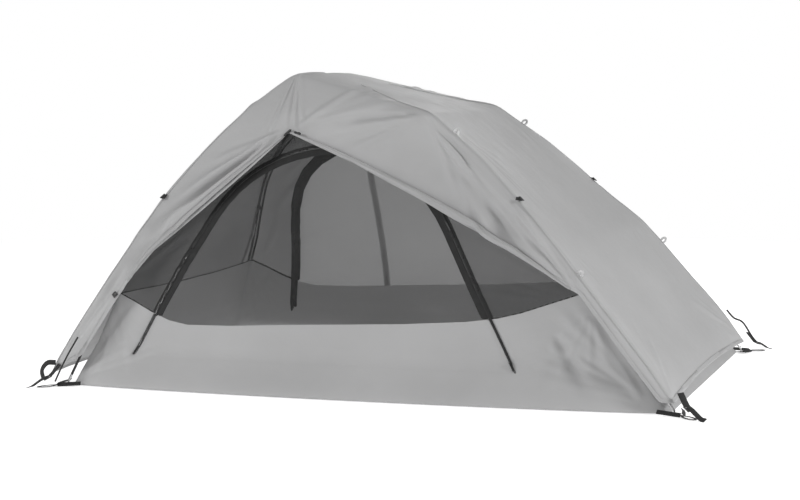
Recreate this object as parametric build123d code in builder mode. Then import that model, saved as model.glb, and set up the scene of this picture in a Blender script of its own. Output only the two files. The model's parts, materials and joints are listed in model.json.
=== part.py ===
"""Two-person dome tent: pole frame, inner tent with two mesh doors, and a lift-off rain fly.

Origin: centre of the floor, at ground level. +X runs along the floor towards the low end,
-Y is the front door side and +Z is up. Lengths are in millimetres.
"""
from build123d import *
import os

os.makedirs("parts", exist_ok=True)

# ---------------------------------------------------------------- driving dimensions
FLOOR_LENGTH = 2134.0
FLOOR_WIDTH = 1524.0
PEAK_HEIGHT = 1090.0
PEAK_X = -380.0
BROW_HALF = 288.0
FABRIC = 2.0

POLE_R = 4.5
POLE_WALL = 0.8
BROW_R = 4.0
CORD_R = 1.2
FERRULE_LENGTH = 64.0
RUNNING_GAP = 0.15
CLIP_GAP = 0.4

DOOR_SILL = 105.0
DOOR_TOP = 838.0
DOOR_GAP = 3.0
ARCH_STEPS = 12
ZIP_BAND = 33.0
WEBBING = 25.0
WEBBING_THICK = 1.6

FLY_HEM = 45.0
FLY_TOP_GAP = 12.0
FLY_HEM_GAP = 46.0
INNER_GAP = 28.0
FLY_APEX_X = -375.0
FLY_APEX_Z = 888.0
FLAP_ROLL_R = 16.0
FLAP_ROLL_OFF = 27.0

# Ridge lines of the frame: height, left x, left half-width, right x, right half-width.
RIDGES = [
    (0.0, -FLOOR_LENGTH / 2, FLOOR_WIDTH / 2, FLOOR_LENGTH / 2, FLOOR_WIDTH / 2),
    (150.0, -1025.0, 730.0, 960.0, 733.0),
    (300.0, -972.0, 690.0, 835.0, 700.0),
    (420.0, -922.0, 640.0, 735.0, 671.0),
    (530.0, -880.0, 575.0, 642.0, 643.0),
    (650.0, -823.0, 495.0, 527.0, 608.0),
    (810.0, -718.0, 400.0, 355.0, 556.0),
    (950.0, -585.0, 340.0, 164.0, 504.0),
]
SHOULDER = 950.0
CREST = (-360.0, 18.0)

CORNERS = [(-1, -1), (1, -1), (1, 1), (-1, 1)]
CORNER_NAMES = ["front_left", "front_right", "rear_right", "rear_left"]


# ---------------------------------------------------------------- helpers
def ridge_at(height):
    """Left x, left half-width, right x, right half-width of the frame at one height."""
    for low, high in zip(RIDGES, RIDGES[1:]):
        if height <= high[0]:
            share = (height - low[0]) / (high[0] - low[0])
            return [a + (b - a) * share for a, b in zip(low[1:], high[1:])]
    return list(RIDGES[-1][1:])


def fly_gap(height):
    """How far the fly's inside stands out from the ridge lines."""
    share = max(0.0, 1.0 - height / SHOULDER)
    return FLY_TOP_GAP + (FLY_HEM_GAP - FLY_TOP_GAP) * share * share


def inner_gap(height):
    """How far the inner tent's outside hangs in from the ridge lines (negative is inward)."""
    return -INNER_GAP * min(1.0, height / 150.0)


def corners_at(height, gap):
    """Front-left and front-right corner of a skin at one height, and its own height."""
    left_x, left_half, right_x, right_half = ridge_at(height)
    rise = gap * max(0.0, (height - 650.0) / (SHOULDER - 650.0))
    level = height + rise
    return Vector(left_x - gap, -left_half - gap, level), Vector(right_x + gap, -right_half - gap, level)


def wall_y(x, z, gap):
    """Y of the front wall of a skin, at one x and height."""
    left, right = corners_at(z, gap)
    share = (x - left.X) / (right.X - left.X)
    return left.Y + (right.Y - left.Y) * share


def mirrored(point):
    return Vector(point.X, -point.Y, point.Z)


def upright_plane(first, second, third):
    """Plane through three points, facing up."""
    normal = (second - first).cross(third - first)
    if normal.Z < 0:
        normal = normal * -1
    return Plane(origin=first, x_dir=second - first, z_dir=normal)


def skin(gap_at, extra, hem):
    """Closed outer form of a tent skin, from its hem to the peak."""
    gap = gap_at(SHOULDER) + extra
    left, right = corners_at(SHOULDER, gap)
    peak = Vector(PEAK_X - gap, -BROW_HALF - gap, PEAK_HEIGHT + gap)
    crest = Vector(CREST[0] + gap, -CREST[1] - gap, PEAK_HEIGHT + gap)
    facets = [
        (right, mirrored(right), crest),
        (left, mirrored(left), peak),
        (left, right, peak),
        (peak, crest, right),
        (mirrored(left), mirrored(right), mirrored(peak)),
        (mirrored(peak), mirrored(crest), mirrored(right)),
    ]
    with BuildPart() as top:
        with BuildSketch(Plane.XY.offset(left.Z)):
            with BuildLine():
                Polyline(left, right, mirrored(right), mirrored(left), close=True)
            make_face()
        extrude(amount=peak.Z - left.Z)
        for facet in facets:
            split(bisect_by=upright_plane(*facet), keep=Keep.BOTTOM)

    heights = [hem] + [row[0] for row in RIDGES if row[0] > hem + 1]
    with BuildPart() as form:
        for height in heights:
            left, right = corners_at(height, gap_at(height) + extra)
            with BuildSketch(Plane.XY.offset(left.Z)):
                with BuildLine():
                    Polyline(left, right, mirrored(right), mirrored(left), close=True)
                make_face()
        loft(ruled=True)
        add(top.part)
    return form.part


def save(builder, label):
    """Label a finished piece and write it under the same name."""
    builder.part.label = label
    export_step(builder.part, "parts/" + label + ".step")


def front_outline(points, depth_from, depth_to):
    """Prism whose outline is drawn in front view and which runs between two depths."""
    with BuildPart() as prism:
        with BuildSketch(Plane.XZ.offset(depth_from)):
            with BuildLine():
                Polyline(*points, close=True)
            make_face()
        extrude(amount=depth_to - depth_from)
    return prism.part


def door_prism(left_foot, left_knee, grow, depth):
    """Prism with the arched outline of a door, grown sideways by a distance."""
    foot = (left_foot, DOOR_SILL)
    knee = left_knee
    with BuildPart() as prism:
        with BuildSketch(Plane.XZ.offset(depth)):
            with BuildLine():
                left_leg = Line(foot, knee)
                right_leg = Line(DOOR_RIGHT_KNEE, DOOR_RIGHT_FOOT)
                arch = Spline(
                    knee,
                    (DOOR_CROWN_X, DOOR_TOP),
                    DOOR_RIGHT_KNEE,
                    tangents=[left_leg % 1, (1, 0), right_leg % 0],
                    mode=Mode.PRIVATE,
                )
                Polyline(*[arch @ (step / ARCH_STEPS) for step in range(ARCH_STEPS + 1)])
                Line(DOOR_RIGHT_FOOT, foot)
            make_face()
            if grow:
                offset(amount=grow, kind=Kind.INTERSECTION)
        extrude(amount=WALL_ZONE)
    return prism.part


def tube_along(path, start, end, outer, inner):
    """Tube or rod that follows a path between two shares of its length."""
    piece = path.trim(start, end)
    with BuildPart() as tube:
        with BuildLine():
            add(piece)
        with BuildSketch(Plane(origin=piece @ 0, z_dir=piece % 0)):
            Circle(outer)
            if inner:
                Circle(inner, mode=Mode.SUBTRACT)
        sweep()
    return tube.part


def plane_on(path, share):
    """Plane across a path, with its x axis pointing in to the middle of the tent."""
    centre = path @ share
    along = path % share
    inward = Vector(TENT_MIDDLE_X - centre.X, -centre.Y, -0.3 * centre.Z)
    across = inward - along * inward.dot(along)
    return Plane(origin=centre, x_dir=across, z_dir=along)


def corner_plane(side, height=0.0):
    """Plane at a floor corner, with x pointing outward along the diagonal."""
    origin = (side[0] * FLOOR_LENGTH / 2, side[1] * FLOOR_WIDTH / 2, height)
    return Plane(origin=origin, x_dir=(side[0], side[1], 0), z_dir=(0, 0, 1))


# ---------------------------------------------------------------- pole frame
HUB_Z = 1078.0
HUB_R = 24.0
HUB_HEIGHT = 14.0
HUB_ROUND = 2.0
HUB_BORE_R = 2.1
HUB_SINK_R = 4.5
HUB_SINK_DEPTH = 3.0
SOCKET_FROM = 0.006
SOCKET_TO = 0.06
HOOK_DISC_R = 12.0
HOOK_DISC_THICK = 5.0
HOOK_DISC_DROP = 5.2
HOOK_STEM_R = 2.0
HOOK_STEM_LENGTH = 13.0
SADDLE_LENGTH = 40.0
SADDLE_WIDTH = 20.0
SADDLE_HEIGHT = 10.0
BROW_TIP_R = 7.0
PIN_R = 3.2
CORD_END = 0.004
TIP_Z = 16.0
TENT_MIDDLE_X = -100.0
HUB = Vector(PEAK_X, 0, HUB_Z)

with BuildLine() as right_leg_line:
    Spline(
        HUB,
        (-222, -148, 1041),
        (-63, -296, 1004),
        (52, -403, 977),
        (100, -447, 965),
        (150, -486, 944),
        (205, -517, 912),
        (355, -556, 810),
        (527, -608, 650),
        (735, -671, 420),
        (960, -735, 150),
        (FLOOR_LENGTH / 2 + 10, -FLOOR_WIDTH / 2 - 10, TIP_Z),
    )
with BuildLine() as left_leg_line:
    Spline(
        HUB,
        (-475, -115, 1012),
        (-622, -280, 880),
        (-735, -398, 762),
        (-816, -490, 650),
        (-917, -638, 420),
        (-1024, -732, 150),
        (-FLOOR_LENGTH / 2 - 10, -FLOOR_WIDTH / 2 - 10, TIP_Z),
    )
right_leg = right_leg_line.line.edges()[0]
left_leg = left_leg_line.line.edges()[0]
legs = [left_leg, right_leg]
with BuildLine() as brow_line:
    ThreePointArc((PEAK_X, -BROW_HALF, 1082), (PEAK_X, 0, 1091), (PEAK_X, BROW_HALF, 1082))
brow = brow_line.line.edges()[0]

SOCKET_END = 0.012
LEG_JOINTS = {"left": [0.36, 0.68], "right": [0.26, 0.52, 0.76]}
TIP_START = 0.985
END_SLACK = 0.0006
roof_start = right_leg @ (SOCKET_END + END_SLACK)
roof_end = right_leg @ (LEG_JOINTS["right"][0] - END_SLACK)
roof_line = Edge.make_line(roof_start, roof_end)


def leg_tubes(path, name, number):
    """The two mirrored tubes between one pair of ferrule joints."""
    ends = [SOCKET_END] + LEG_JOINTS[name] + [TIP_START]
    start = ends[number] + END_SLACK
    end = ends[number + 1] - END_SLACK
    with BuildPart() as tubes:
        add(tube_along(path, start, end, POLE_R, POLE_R - POLE_WALL))
        mirror(about=Plane.XZ)
    return tubes


save(leg_tubes(left_leg, "left", 0), "left_pole_upper_tubes")
save(leg_tubes(left_leg, "left", 1), "left_pole_middle_tubes")
save(leg_tubes(left_leg, "left", 2), "left_pole_lower_tubes")
with BuildPart() as roof_tubes:
    add(tube_along(roof_line, 0, 1, POLE_R, POLE_R - POLE_WALL))
    mirror(about=Plane.XZ)
save(roof_tubes, "right_pole_roof_tubes")
save(leg_tubes(right_leg, "right", 1), "right_pole_elbow_tubes")
save(leg_tubes(right_leg, "right", 2), "right_pole_middle_tubes")
save(leg_tubes(right_leg, "right", 3), "right_pole_lower_tubes")

FERRULE_WALL = 1.0
for name, path in (("left", left_leg), ("right", right_leg)):
    with BuildPart() as ferrules:
        half = FERRULE_LENGTH / 2 / path.length
        for joint in LEG_JOINTS[name]:
            inner = POLE_R + RUNNING_GAP
            add(tube_along(path, joint - half, joint + half, inner + FERRULE_WALL, inner))
        mirror(about=Plane.XZ)
    save(ferrules, name + "_pole_ferrules")

with BuildPart() as shock_cords:
    for path in legs:
        add(tube_along(path, SOCKET_END + CORD_END, TIP_START - CORD_END, CORD_R, 0))
    mirror(about=Plane.XZ)
save(shock_cords, "shock_cords")

with BuildPart() as hub_body:
    with BuildSketch(Plane.XY.offset(HUB_Z - HUB_HEIGHT / 2)):
        with Locations((PEAK_X, 0)):
            Circle(HUB_R)
    extrude(amount=HUB_HEIGHT)
    fillet(hub_body.edges().filter_by(GeomType.CIRCLE), HUB_ROUND)
    for path in legs:
        socket = tube_along(path, SOCKET_FROM, SOCKET_TO, POLE_R + RUNNING_GAP, 0)
        add(socket, mode=Mode.SUBTRACT)
        add(socket.mirror(Plane.XZ), mode=Mode.SUBTRACT)
    with Locations((PEAK_X, 0, HUB_Z)):
        CounterBoreHole(radius=HUB_BORE_R, counter_bore_radius=HUB_SINK_R,
                        counter_bore_depth=HUB_SINK_DEPTH, depth=HUB_HEIGHT)
save(hub_body, "hub_body")

SADDLE_BASE = HUB_Z + HUB_HEIGHT / 2 + 0.1
with BuildPart() as brow_saddle:
    with BuildSketch(Plane.XY.offset(SADDLE_BASE)):
        with Locations((PEAK_X, 0)):
            SlotOverall(SADDLE_LENGTH, SADDLE_WIDTH, rotation=90)
    extrude(amount=SADDLE_HEIGHT)
    add(tube_along(brow, 0.4, 0.6, BROW_R + RUNNING_GAP, 0), mode=Mode.SUBTRACT)
save(brow_saddle, "brow_saddle")

with BuildPart() as brow_tube:
    add(tube_along(brow, 0.02, 0.98, BROW_R, BROW_R - POLE_WALL))
save(brow_tube, "brow_pole")

with BuildPart() as brow_tips:
    for share in (0.006, 0.994):
        centre = brow @ share
        with Locations(centre):
            Sphere(BROW_TIP_R)
    add(tube_along(brow, 0.012, 0.988, BROW_R + RUNNING_GAP, 0), mode=Mode.SUBTRACT)
save(brow_tips, "brow_pole_tips")

with BuildPart() as hub_hook:
    with BuildSketch(Plane.XY.offset(HUB_Z - HUB_HEIGHT / 2 - HOOK_DISC_DROP)):
        with Locations((PEAK_X, 0)):
            Circle(HOOK_DISC_R)
    extrude(amount=HOOK_DISC_THICK)
    with BuildSketch(Plane.XY.offset(HUB_Z - HUB_HEIGHT / 2 - HOOK_DISC_DROP)):
        with Locations((PEAK_X, 0)):
            Circle(HOOK_STEM_R)
    extrude(amount=HOOK_STEM_LENGTH)
save(hub_hook, "hub_hook")

with BuildPart() as pole_tips:
    for path in legs:
        add(tube_along(path, TIP_START, 0.9995, POLE_R, 0))
        end = path @ 1
        with BuildSketch(Plane.XY.offset(1)):
            with Locations((end.X, end.Y)):
                Circle(PIN_R)
        extrude(amount=TIP_Z + 1)
    mirror(about=Plane.XZ)
save(pole_tips, "pole_tips")

# ---------------------------------------------------------------- inner tent
WALL_ZONE = 500.0
WALL_DEPTH = 330.0
DOOR_CROWN_X = -165.0
DOOR_RIGHT_FOOT = (530.0, DOOR_SILL)
DOOR_RIGHT_KNEE = (262.0, 575.0)
FRONT_DOOR = (-850.0, (-625.0, 590.0))
REAR_DOOR = (-775.0, (-680.0, 560.0))

inner_outside = skin(inner_gap, 0.0, 0.0)
inner_inside = skin(inner_gap, -FABRIC, FABRIC)


def both_doors(grow):
    """The two door prisms, front and rear."""
    front = door_prism(FRONT_DOOR[0], FRONT_DOOR[1], grow, WALL_DEPTH)
    rear = door_prism(REAR_DOOR[0], REAR_DOOR[1], grow, -WALL_DEPTH - WALL_ZONE)
    return front, rear


front_hole, rear_hole = both_doors(DOOR_GAP)
SEAM_LEFT_Z = 322.0
SEAM_RIGHT_Z = 380.0
SEAM_LINE = [
    (-FLOOR_LENGTH, SEAM_LEFT_Z),
    (-935, SEAM_LEFT_Z),
    (-800, 262),
    (-660, 222),
    (350, 266),
    (500, 288),
    (770, SEAM_RIGHT_Z),
    (FLOOR_LENGTH, SEAM_RIGHT_Z),
]
BELOW_FLOOR = -10.0

with BuildPart() as floor_tub:
    add(inner_outside)
    add(inner_inside, mode=Mode.SUBTRACT)
    add(front_outline(SEAM_LINE + [(FLOOR_LENGTH, BELOW_FLOOR), (-FLOOR_LENGTH, BELOW_FLOOR)],
                      -FLOOR_WIDTH, FLOOR_WIDTH), mode=Mode.INTERSECT)
    add(front_hole, mode=Mode.SUBTRACT)
    add(rear_hole, mode=Mode.SUBTRACT)
save(floor_tub, "floor_tub")

with BuildPart() as mesh_canopy:
    add(inner_outside)
    add(front_hole, mode=Mode.SUBTRACT)
    add(rear_hole, mode=Mode.SUBTRACT)
    add(inner_inside, mode=Mode.SUBTRACT)
    add(front_outline(SEAM_LINE + [(FLOOR_LENGTH, PEAK_HEIGHT), (-FLOOR_LENGTH, PEAK_HEIGHT)],
                      -FLOOR_WIDTH, FLOOR_WIDTH), mode=Mode.INTERSECT)
save(mesh_canopy, "mesh_canopy")

front_panel, rear_panel = both_doors(0)
for name, panel in (("front_door", front_panel), ("rear_door", rear_panel)):
    with BuildPart() as door:
        add(inner_outside)
        add(inner_inside, mode=Mode.SUBTRACT)
        add(panel, mode=Mode.INTERSECT)
    save(door, name)


def rim_strip(low_skin, high_skin, outer_grow, inner_grow, name):
    """Strips that lie on the wall around the arch of each door and stop at its sill."""
    below_sill = [(-FLOOR_LENGTH, BELOW_FLOOR), (FLOOR_LENGTH, BELOW_FLOOR),
                  (FLOOR_LENGTH, DOOR_SILL), (-FLOOR_LENGTH, DOOR_SILL)]
    for side, rim, edge in zip(("front", "rear"), both_doors(outer_grow), both_doors(inner_grow)):
        with BuildPart() as ring:
            add(rim)
            add(edge, mode=Mode.SUBTRACT)
            add(front_outline(below_sill, -FLOOR_WIDTH, FLOOR_WIDTH), mode=Mode.SUBTRACT)
        with BuildPart() as strip:
            add(skin(inner_gap, high_skin, 0.0))
            add(skin(inner_gap, low_skin, BELOW_FLOOR), mode=Mode.SUBTRACT)
            add(ring.part, mode=Mode.INTERSECT)
        save(strip, side + name)


rim_strip(0.5, 0.5 + FABRIC, ZIP_BAND, DOOR_GAP + 5, "_zip_band")
rim_strip(0.3, 1.6, DOOR_GAP + 4, DOOR_GAP + 0.5, "_zip_coil")

# ---------------------------------------------------------------- door zip sliders
SLIDER_LOW = 0.07
foot = Vector(DOOR_RIGHT_FOOT[0], 0, DOOR_RIGHT_FOOT[1])
knee = Vector(DOOR_RIGHT_KNEE[0], 0, DOOR_RIGHT_KNEE[1])
leg_along = (knee - foot).normalized()
leg_out = Vector(leg_along.Z, 0, -leg_along.X)
SLIDER_STAND = 5.0


def leg_point(share):
    """Point outside the front wall on the zip line, at a share of the straight leg."""
    flat = foot + (knee - foot) * share + leg_out * (DOOR_GAP + 2)
    return Vector(flat.X, wall_y(flat.X, flat.Z, inner_gap(flat.Z)) - SLIDER_STAND, flat.Z)


slider_point = leg_point(SLIDER_LOW)
slider_axis = (leg_point(0.6) - slider_point).normalized()
slider_side = slider_axis.cross(Vector(0, -1, 0)).normalized()
slider_plane = Plane(origin=slider_point, x_dir=slider_side, z_dir=slider_side.cross(slider_axis))
PULL_AXIS = 4.6
SLIDER_LENGTH = 9.0
SLIDER_WIDTH = 14.0
SLIDER_TAPER = 75.0
SLIDER_THICK = 3.0
PIVOT_HOLE_R = 0.9
WIRE_R = 0.8
WIRE_SPAN = 7.6
TAB_LENGTH = 24.0
TAB_WIDTH = 6.0
TAB_FALL = 31.0
WIRE_LENGTH = 19.0


def zip_slider(place):
    """Tapered slider with the loop that holds its pull."""
    with BuildPart() as body:
        with BuildSketch(place):
            Trapezoid(SLIDER_LENGTH, SLIDER_WIDTH, SLIDER_TAPER)
        extrude(amount=SLIDER_THICK)
        with BuildSketch(place.offset(SLIDER_THICK)):
            Rectangle(SLIDER_THICK, SLIDER_LENGTH)
        extrude(amount=SLIDER_THICK)
        with Locations(place.offset(PULL_AXIS)):
            Cylinder(PIVOT_HOLE_R, 10, rotation=(0, 90, 0), mode=Mode.SUBTRACT)
    return body


def zip_pull(place):
    """Wire stirrup and cord tab that hang from a slider."""
    with BuildPart() as body:
        with Locations(place.offset(PULL_AXIS)):
            Cylinder(WIRE_R, WIRE_SPAN, rotation=(0, 90, 0))
        with BuildSketch(place.offset(PULL_AXIS - WIRE_R)):
            with Locations((WIRE_R - WIRE_SPAN / 2, -9), (WIRE_SPAN / 2 - WIRE_R, -9)):
                Rectangle(2 * WIRE_R, WIRE_LENGTH)
            with Locations((0, -WIRE_LENGTH)):
                Rectangle(WIRE_SPAN, 2)
            with Locations((0, -TAB_FALL)):
                SlotOverall(TAB_LENGTH, TAB_WIDTH, rotation=90)
        extrude(amount=2 * WIRE_R)
    return body


for name, build in (("zip_slider", zip_slider), ("zip_pull", zip_pull)):
    front_piece = build(slider_plane)
    save(front_piece, "front_" + name)
    with BuildPart() as rear_piece:
        add(front_piece.part.mirror(Plane.XZ))
    save(rear_piece, "rear_" + name)

# ---------------------------------------------------------------- pole clips
CLIP_WALL = 2.2
CLIP_LENGTH = 14.0
CLIP_MOUTH = 5.0
CLIP_STEM = (8.0, 7.0)
CLIP_STEM_OUT = POLE_R + 5.0
CLIP_MOUTH_DEPTH = 6.0
CLIP_MOUTH_OUT = POLE_R + 1.0
CLIP_SHARES = [
    (roof_line, [0.46]),
    (right_leg, [0.36, 0.46, 0.64, 0.83]),
    (left_leg, [0.24, 0.45, 0.60, 0.80]),
]
with BuildPart() as clips:
    for path, shares in CLIP_SHARES:
        for share in shares:
            with BuildSketch(plane_on(path, share).offset(-CLIP_LENGTH / 2)):
                Circle(POLE_R + CLIP_GAP + CLIP_WALL)
                with Locations((CLIP_STEM_OUT, 0)):
                    Rectangle(*CLIP_STEM)
                Circle(POLE_R + CLIP_GAP, mode=Mode.SUBTRACT)
                with Locations((-CLIP_MOUTH_OUT, 0)):
                    Rectangle(CLIP_MOUTH_DEPTH, CLIP_MOUTH, mode=Mode.SUBTRACT)
            extrude(amount=CLIP_LENGTH)
    mirror(about=Plane.XZ)
save(clips, "pole_clips")

# ---------------------------------------------------------------- floor corners
FLOOR_LIFT = 0.5
WEBBING_OUT = 30.0
WEBBING_LENGTH = 56.0
PIN_OUT = 14.14
LOOP_HOLE_OUT = 44.0
WEBBING_HOLE_R = 4.2
GROMMET_R = 8.0
GROMMET_THICK = 1.2
STAKE_LOOP_OUT = 94.0
STAKE_LOOP = (66.0, 14.0)
STAKE_LOOP_HOLE = (58.0, 8.0)
with BuildPart() as corner_webbing:
    for side in CORNERS:
        with BuildSketch(corner_plane(side, FLOOR_LIFT)):
            with Locations((WEBBING_OUT, 0)):
                Rectangle(WEBBING_LENGTH, WEBBING)
            with Locations((PIN_OUT, 0), (LOOP_HOLE_OUT, 0)):
                Circle(WEBBING_HOLE_R, mode=Mode.SUBTRACT)
        extrude(amount=WEBBING_THICK)
save(corner_webbing, "corner_webbing")

with BuildPart() as grommets:
    for side in CORNERS:
        with BuildSketch(corner_plane(side, FLOOR_LIFT + WEBBING_THICK)):
            with Locations((PIN_OUT, 0)):
                Circle(GROMMET_R)
                Circle(PIN_R + RUNNING_GAP, mode=Mode.SUBTRACT)
        extrude(amount=GROMMET_THICK)
save(grommets, "corner_grommets")

with BuildPart() as stake_loops:
    for side in CORNERS:
        with BuildSketch(corner_plane(side, FLOOR_LIFT)):
            with Locations((STAKE_LOOP_OUT, 0)):
                Rectangle(*STAKE_LOOP)
                Rectangle(*STAKE_LOOP_HOLE, mode=Mode.SUBTRACT)
        extrude(amount=WEBBING_THICK)
save(stake_loops, "stake_loops")

# ---------------------------------------------------------------- rain fly
fly_outside = skin(fly_gap, FABRIC, FLY_HEM)
fly_inside = skin(fly_gap, 0.0, FLY_HEM - 20.0)
OPENING_RIGHT = (760, 372)
OPENING_LEFT = (-905, 322)
OPENING = [
    (FLY_APEX_X, FLY_APEX_Z), OPENING_RIGHT, (1060, 0), (-1035, 0), (-1010, 120), OPENING_LEFT,
]
ROLL_LIFT = 26.0
with BuildPart() as fly_canopy:
    add(fly_outside)
    add(fly_inside, mode=Mode.SUBTRACT)
    add(front_outline(OPENING, 200, 1000), mode=Mode.SUBTRACT)
save(fly_canopy, "fly_canopy")


def fly_point(x, z, stand_off):
    """Point outside the fly's front panel."""
    return Vector(x, wall_y(x, z, fly_gap(z) + FABRIC) - stand_off, z)


def flap_roll(start, end, lift):
    """Rolled flap lying on the fly beside one edge of the opening."""
    points = []
    for share in (0.02, 0.25, 0.5, 0.75, 0.98):
        x = start[0] + (end[0] - start[0]) * share
        z = start[1] + (end[1] - start[1]) * share + lift
        points.append(fly_point(x, z, FLAP_ROLL_OFF))
    with BuildPart() as roll:
        with BuildLine() as line:
            Spline(*points)
        with BuildSketch(Plane(origin=line.line @ 0, z_dir=line.line % 0)):
            Circle(FLAP_ROLL_R)
        sweep()
    return roll


save(flap_roll(OPENING[0], OPENING_LEFT, ROLL_LIFT), "left_flap_roll")
save(flap_roll(OPENING[0], OPENING_RIGHT, ROLL_LIFT), "right_flap_roll")

# ---------------------------------------------------------------- rear fly zip
REAR_ZIP_LOW = 62.0
REAR_ZIP_HIGH = 880.0
FLY_COIL_LOW = 0.3
FLY_COIL_HIGH = 1.6
FLY_COIL_WIDTH = 7.0


def zip_strip(low_skin, high_skin, width):
    """Upright strip on the rear panel of the fly."""
    half = width / 2
    outline = [
        (FLY_APEX_X - half, REAR_ZIP_LOW), (FLY_APEX_X + half, REAR_ZIP_LOW),
        (FLY_APEX_X + half, REAR_ZIP_HIGH), (FLY_APEX_X - half, REAR_ZIP_HIGH),
    ]
    with BuildPart() as strip:
        add(front_outline(outline, -FLOOR_WIDTH, -200))
        add(skin(fly_gap, high_skin, 0.0), mode=Mode.INTERSECT)
        add(skin(fly_gap, low_skin, BELOW_FLOOR), mode=Mode.SUBTRACT)
    return strip


save(zip_strip(FABRIC + FLY_COIL_LOW, FABRIC + FLY_COIL_HIGH, FLY_COIL_WIDTH), "fly_zip_coil")

FLY_SLIDER_LOW = 90.0
FLY_SLIDER_HIGH = 290.0


def rear_zip_point(z):
    return Vector(FLY_APEX_X, -wall_y(FLY_APEX_X, z, fly_gap(z) + FABRIC) + SLIDER_STAND, z)


fly_slider_low = rear_zip_point(FLY_SLIDER_LOW)
fly_slider_axis = (rear_zip_point(FLY_SLIDER_HIGH) - fly_slider_low).normalized()
fly_slider_plane = Plane(
    origin=fly_slider_low, x_dir=(-1, 0, 0), z_dir=Vector(-1, 0, 0).cross(fly_slider_axis)
)
save(zip_slider(fly_slider_plane), "fly_zip_slider")
save(zip_pull(fly_slider_plane), "fly_zip_pull")

# ---------------------------------------------------------------- fly fittings
TOGGLE_LENGTH = 28.0
TOGGLE_R = 4.5
TOGGLE_MIDDLE_X = -352.0
TOGGLE_APART = 22.0
TOGGLE_OUT = 64.0
TOGGLE_LEAN = 0.25
STEM_R = 1.2
STEM_LENGTH = 18.0
APEX_CORD_R = 1.6
APEX_CORD_LENGTH = 46.0
APEX_CORD_APART = 3.0
APEX_CORD_DROP = 30.0
APEX_CORD_OUT = 60.0
for name, way in (("left", -1), ("right", 1)):
    spot = fly_point(TOGGLE_MIDDLE_X + way * TOGGLE_APART, FLY_APEX_Z, TOGGLE_OUT)
    with BuildPart() as toggle:
        with Locations(Plane(origin=spot, x_dir=(1, 0, 0), z_dir=(TOGGLE_LEAN * way, 0, -1))):
            Cylinder(TOGGLE_R, TOGGLE_LENGTH)
        with Locations(spot + Vector(0, STEM_LENGTH / 2, 0)):
            Cylinder(STEM_R, STEM_LENGTH, rotation=(90, 0, 0))
    save(toggle, name + "_flap_toggle")

with BuildPart() as apex_cords:
    for way in (-1, 1):
        side_x = TOGGLE_MIDDLE_X + way * APEX_CORD_APART
        with Locations(fly_point(side_x, FLY_APEX_Z - APEX_CORD_DROP, APEX_CORD_OUT)):
            Cylinder(APEX_CORD_R, APEX_CORD_LENGTH)
save(apex_cords, "apex_cords")

LOOP_SPOTS = [(895.0, 28.0), (430.0, 26.0)]
LOOP_WIDTH = 14.0
LOOP_EDGE = 4.0
LOOP_THICK = 1.2
LOOP_GAP = 2.0
with BuildPart() as guy_loops:
    for height, size in LOOP_SPOTS:
        left, corner = corners_at(height, fly_gap(height) + FABRIC)
        out = Vector(0.75, -0.45, 0.5).normalized()
        place = Plane(origin=corner + out * (size / 2 + LOOP_GAP), x_dir=out, z_dir=(0.51, 0.86, 0))
        with BuildSketch(place):
            SlotOverall(size, LOOP_WIDTH)
            SlotOverall(size - 2 * LOOP_EDGE, LOOP_WIDTH - 2 * LOOP_EDGE, mode=Mode.SUBTRACT)
        extrude(amount=LOOP_THICK)
    mirror(about=Plane.XZ)
save(guy_loops, "guy_out_loops")

WRAP_HEIGHTS = [650.0, 683.0]
WRAP_SIZE = (26.0, 20.0)
WRAP_ROUND = 3.0
WRAP_THICK = 2.0
WRAP_OUT = 6.0
with BuildPart() as wrap_tabs:
    for number, out in enumerate((-1, 1)):
        height = WRAP_HEIGHTS[number]
        corner = corners_at(height, fly_gap(height) + FABRIC)[number]
        facing = Vector(out * 0.72, -0.55, 0.42).normalized()
        along = Vector(-out * 0.62, 0.2, 0.76)
        level = along - facing * along.dot(facing)
        place = Plane(origin=corner + facing * WRAP_OUT, x_dir=level, z_dir=facing)
        with BuildSketch(place):
            RectangleRounded(*WRAP_SIZE, WRAP_ROUND)
        extrude(amount=WRAP_THICK)
    mirror(about=Plane.XZ)
save(wrap_tabs, "pole_wrap_tabs")

EDGE_CLIP_SPOT = (-925.0, 318.0)
EDGE_CLIP_SIZE = (22.0, 12.0)
EDGE_CLIP_OUT = 5.0
with BuildPart() as edge_clip:
    spot = fly_point(*EDGE_CLIP_SPOT, EDGE_CLIP_OUT)
    with BuildSketch(Plane(origin=spot, x_dir=(1, 0, 0), z_dir=(0, -1, 0))):
        RectangleRounded(*EDGE_CLIP_SIZE, WRAP_ROUND)
    extrude(amount=WRAP_ROUND)
save(edge_clip, "fly_edge_clip")

# ---------------------------------------------------------------- fly corner straps and buckles
HINGE_OUT = 82.0
HINGE_Z = 38.0
BUCKLE_LENGTH = 30.0
BUCKLE_WIDTH = 26.0
BUCKLE_BAR_R = 1.6
BUCKLE_FALL = 25.0
STRAP_WIDTH = 18.0
EYE_WALL = 1.5
STRAP_END = (24.0, 13.0, 6.0)
RAIL = 4.0
RAIL_SIDE = BUCKLE_WIDTH / 2 - 2.0
RAIL_MIDDLE = BUCKLE_LENGTH / 2 - 2.0
BAR_THICK = 3.2
BAR_SPOTS = (BUCKLE_LENGTH / 2 - 3.0, BUCKLE_LENGTH - 5.0)
TENSION_LENGTH = 58.0
TENSION_OUT = BUCKLE_LENGTH + 10.0
TENSION_LIFT = 3.0

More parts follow.
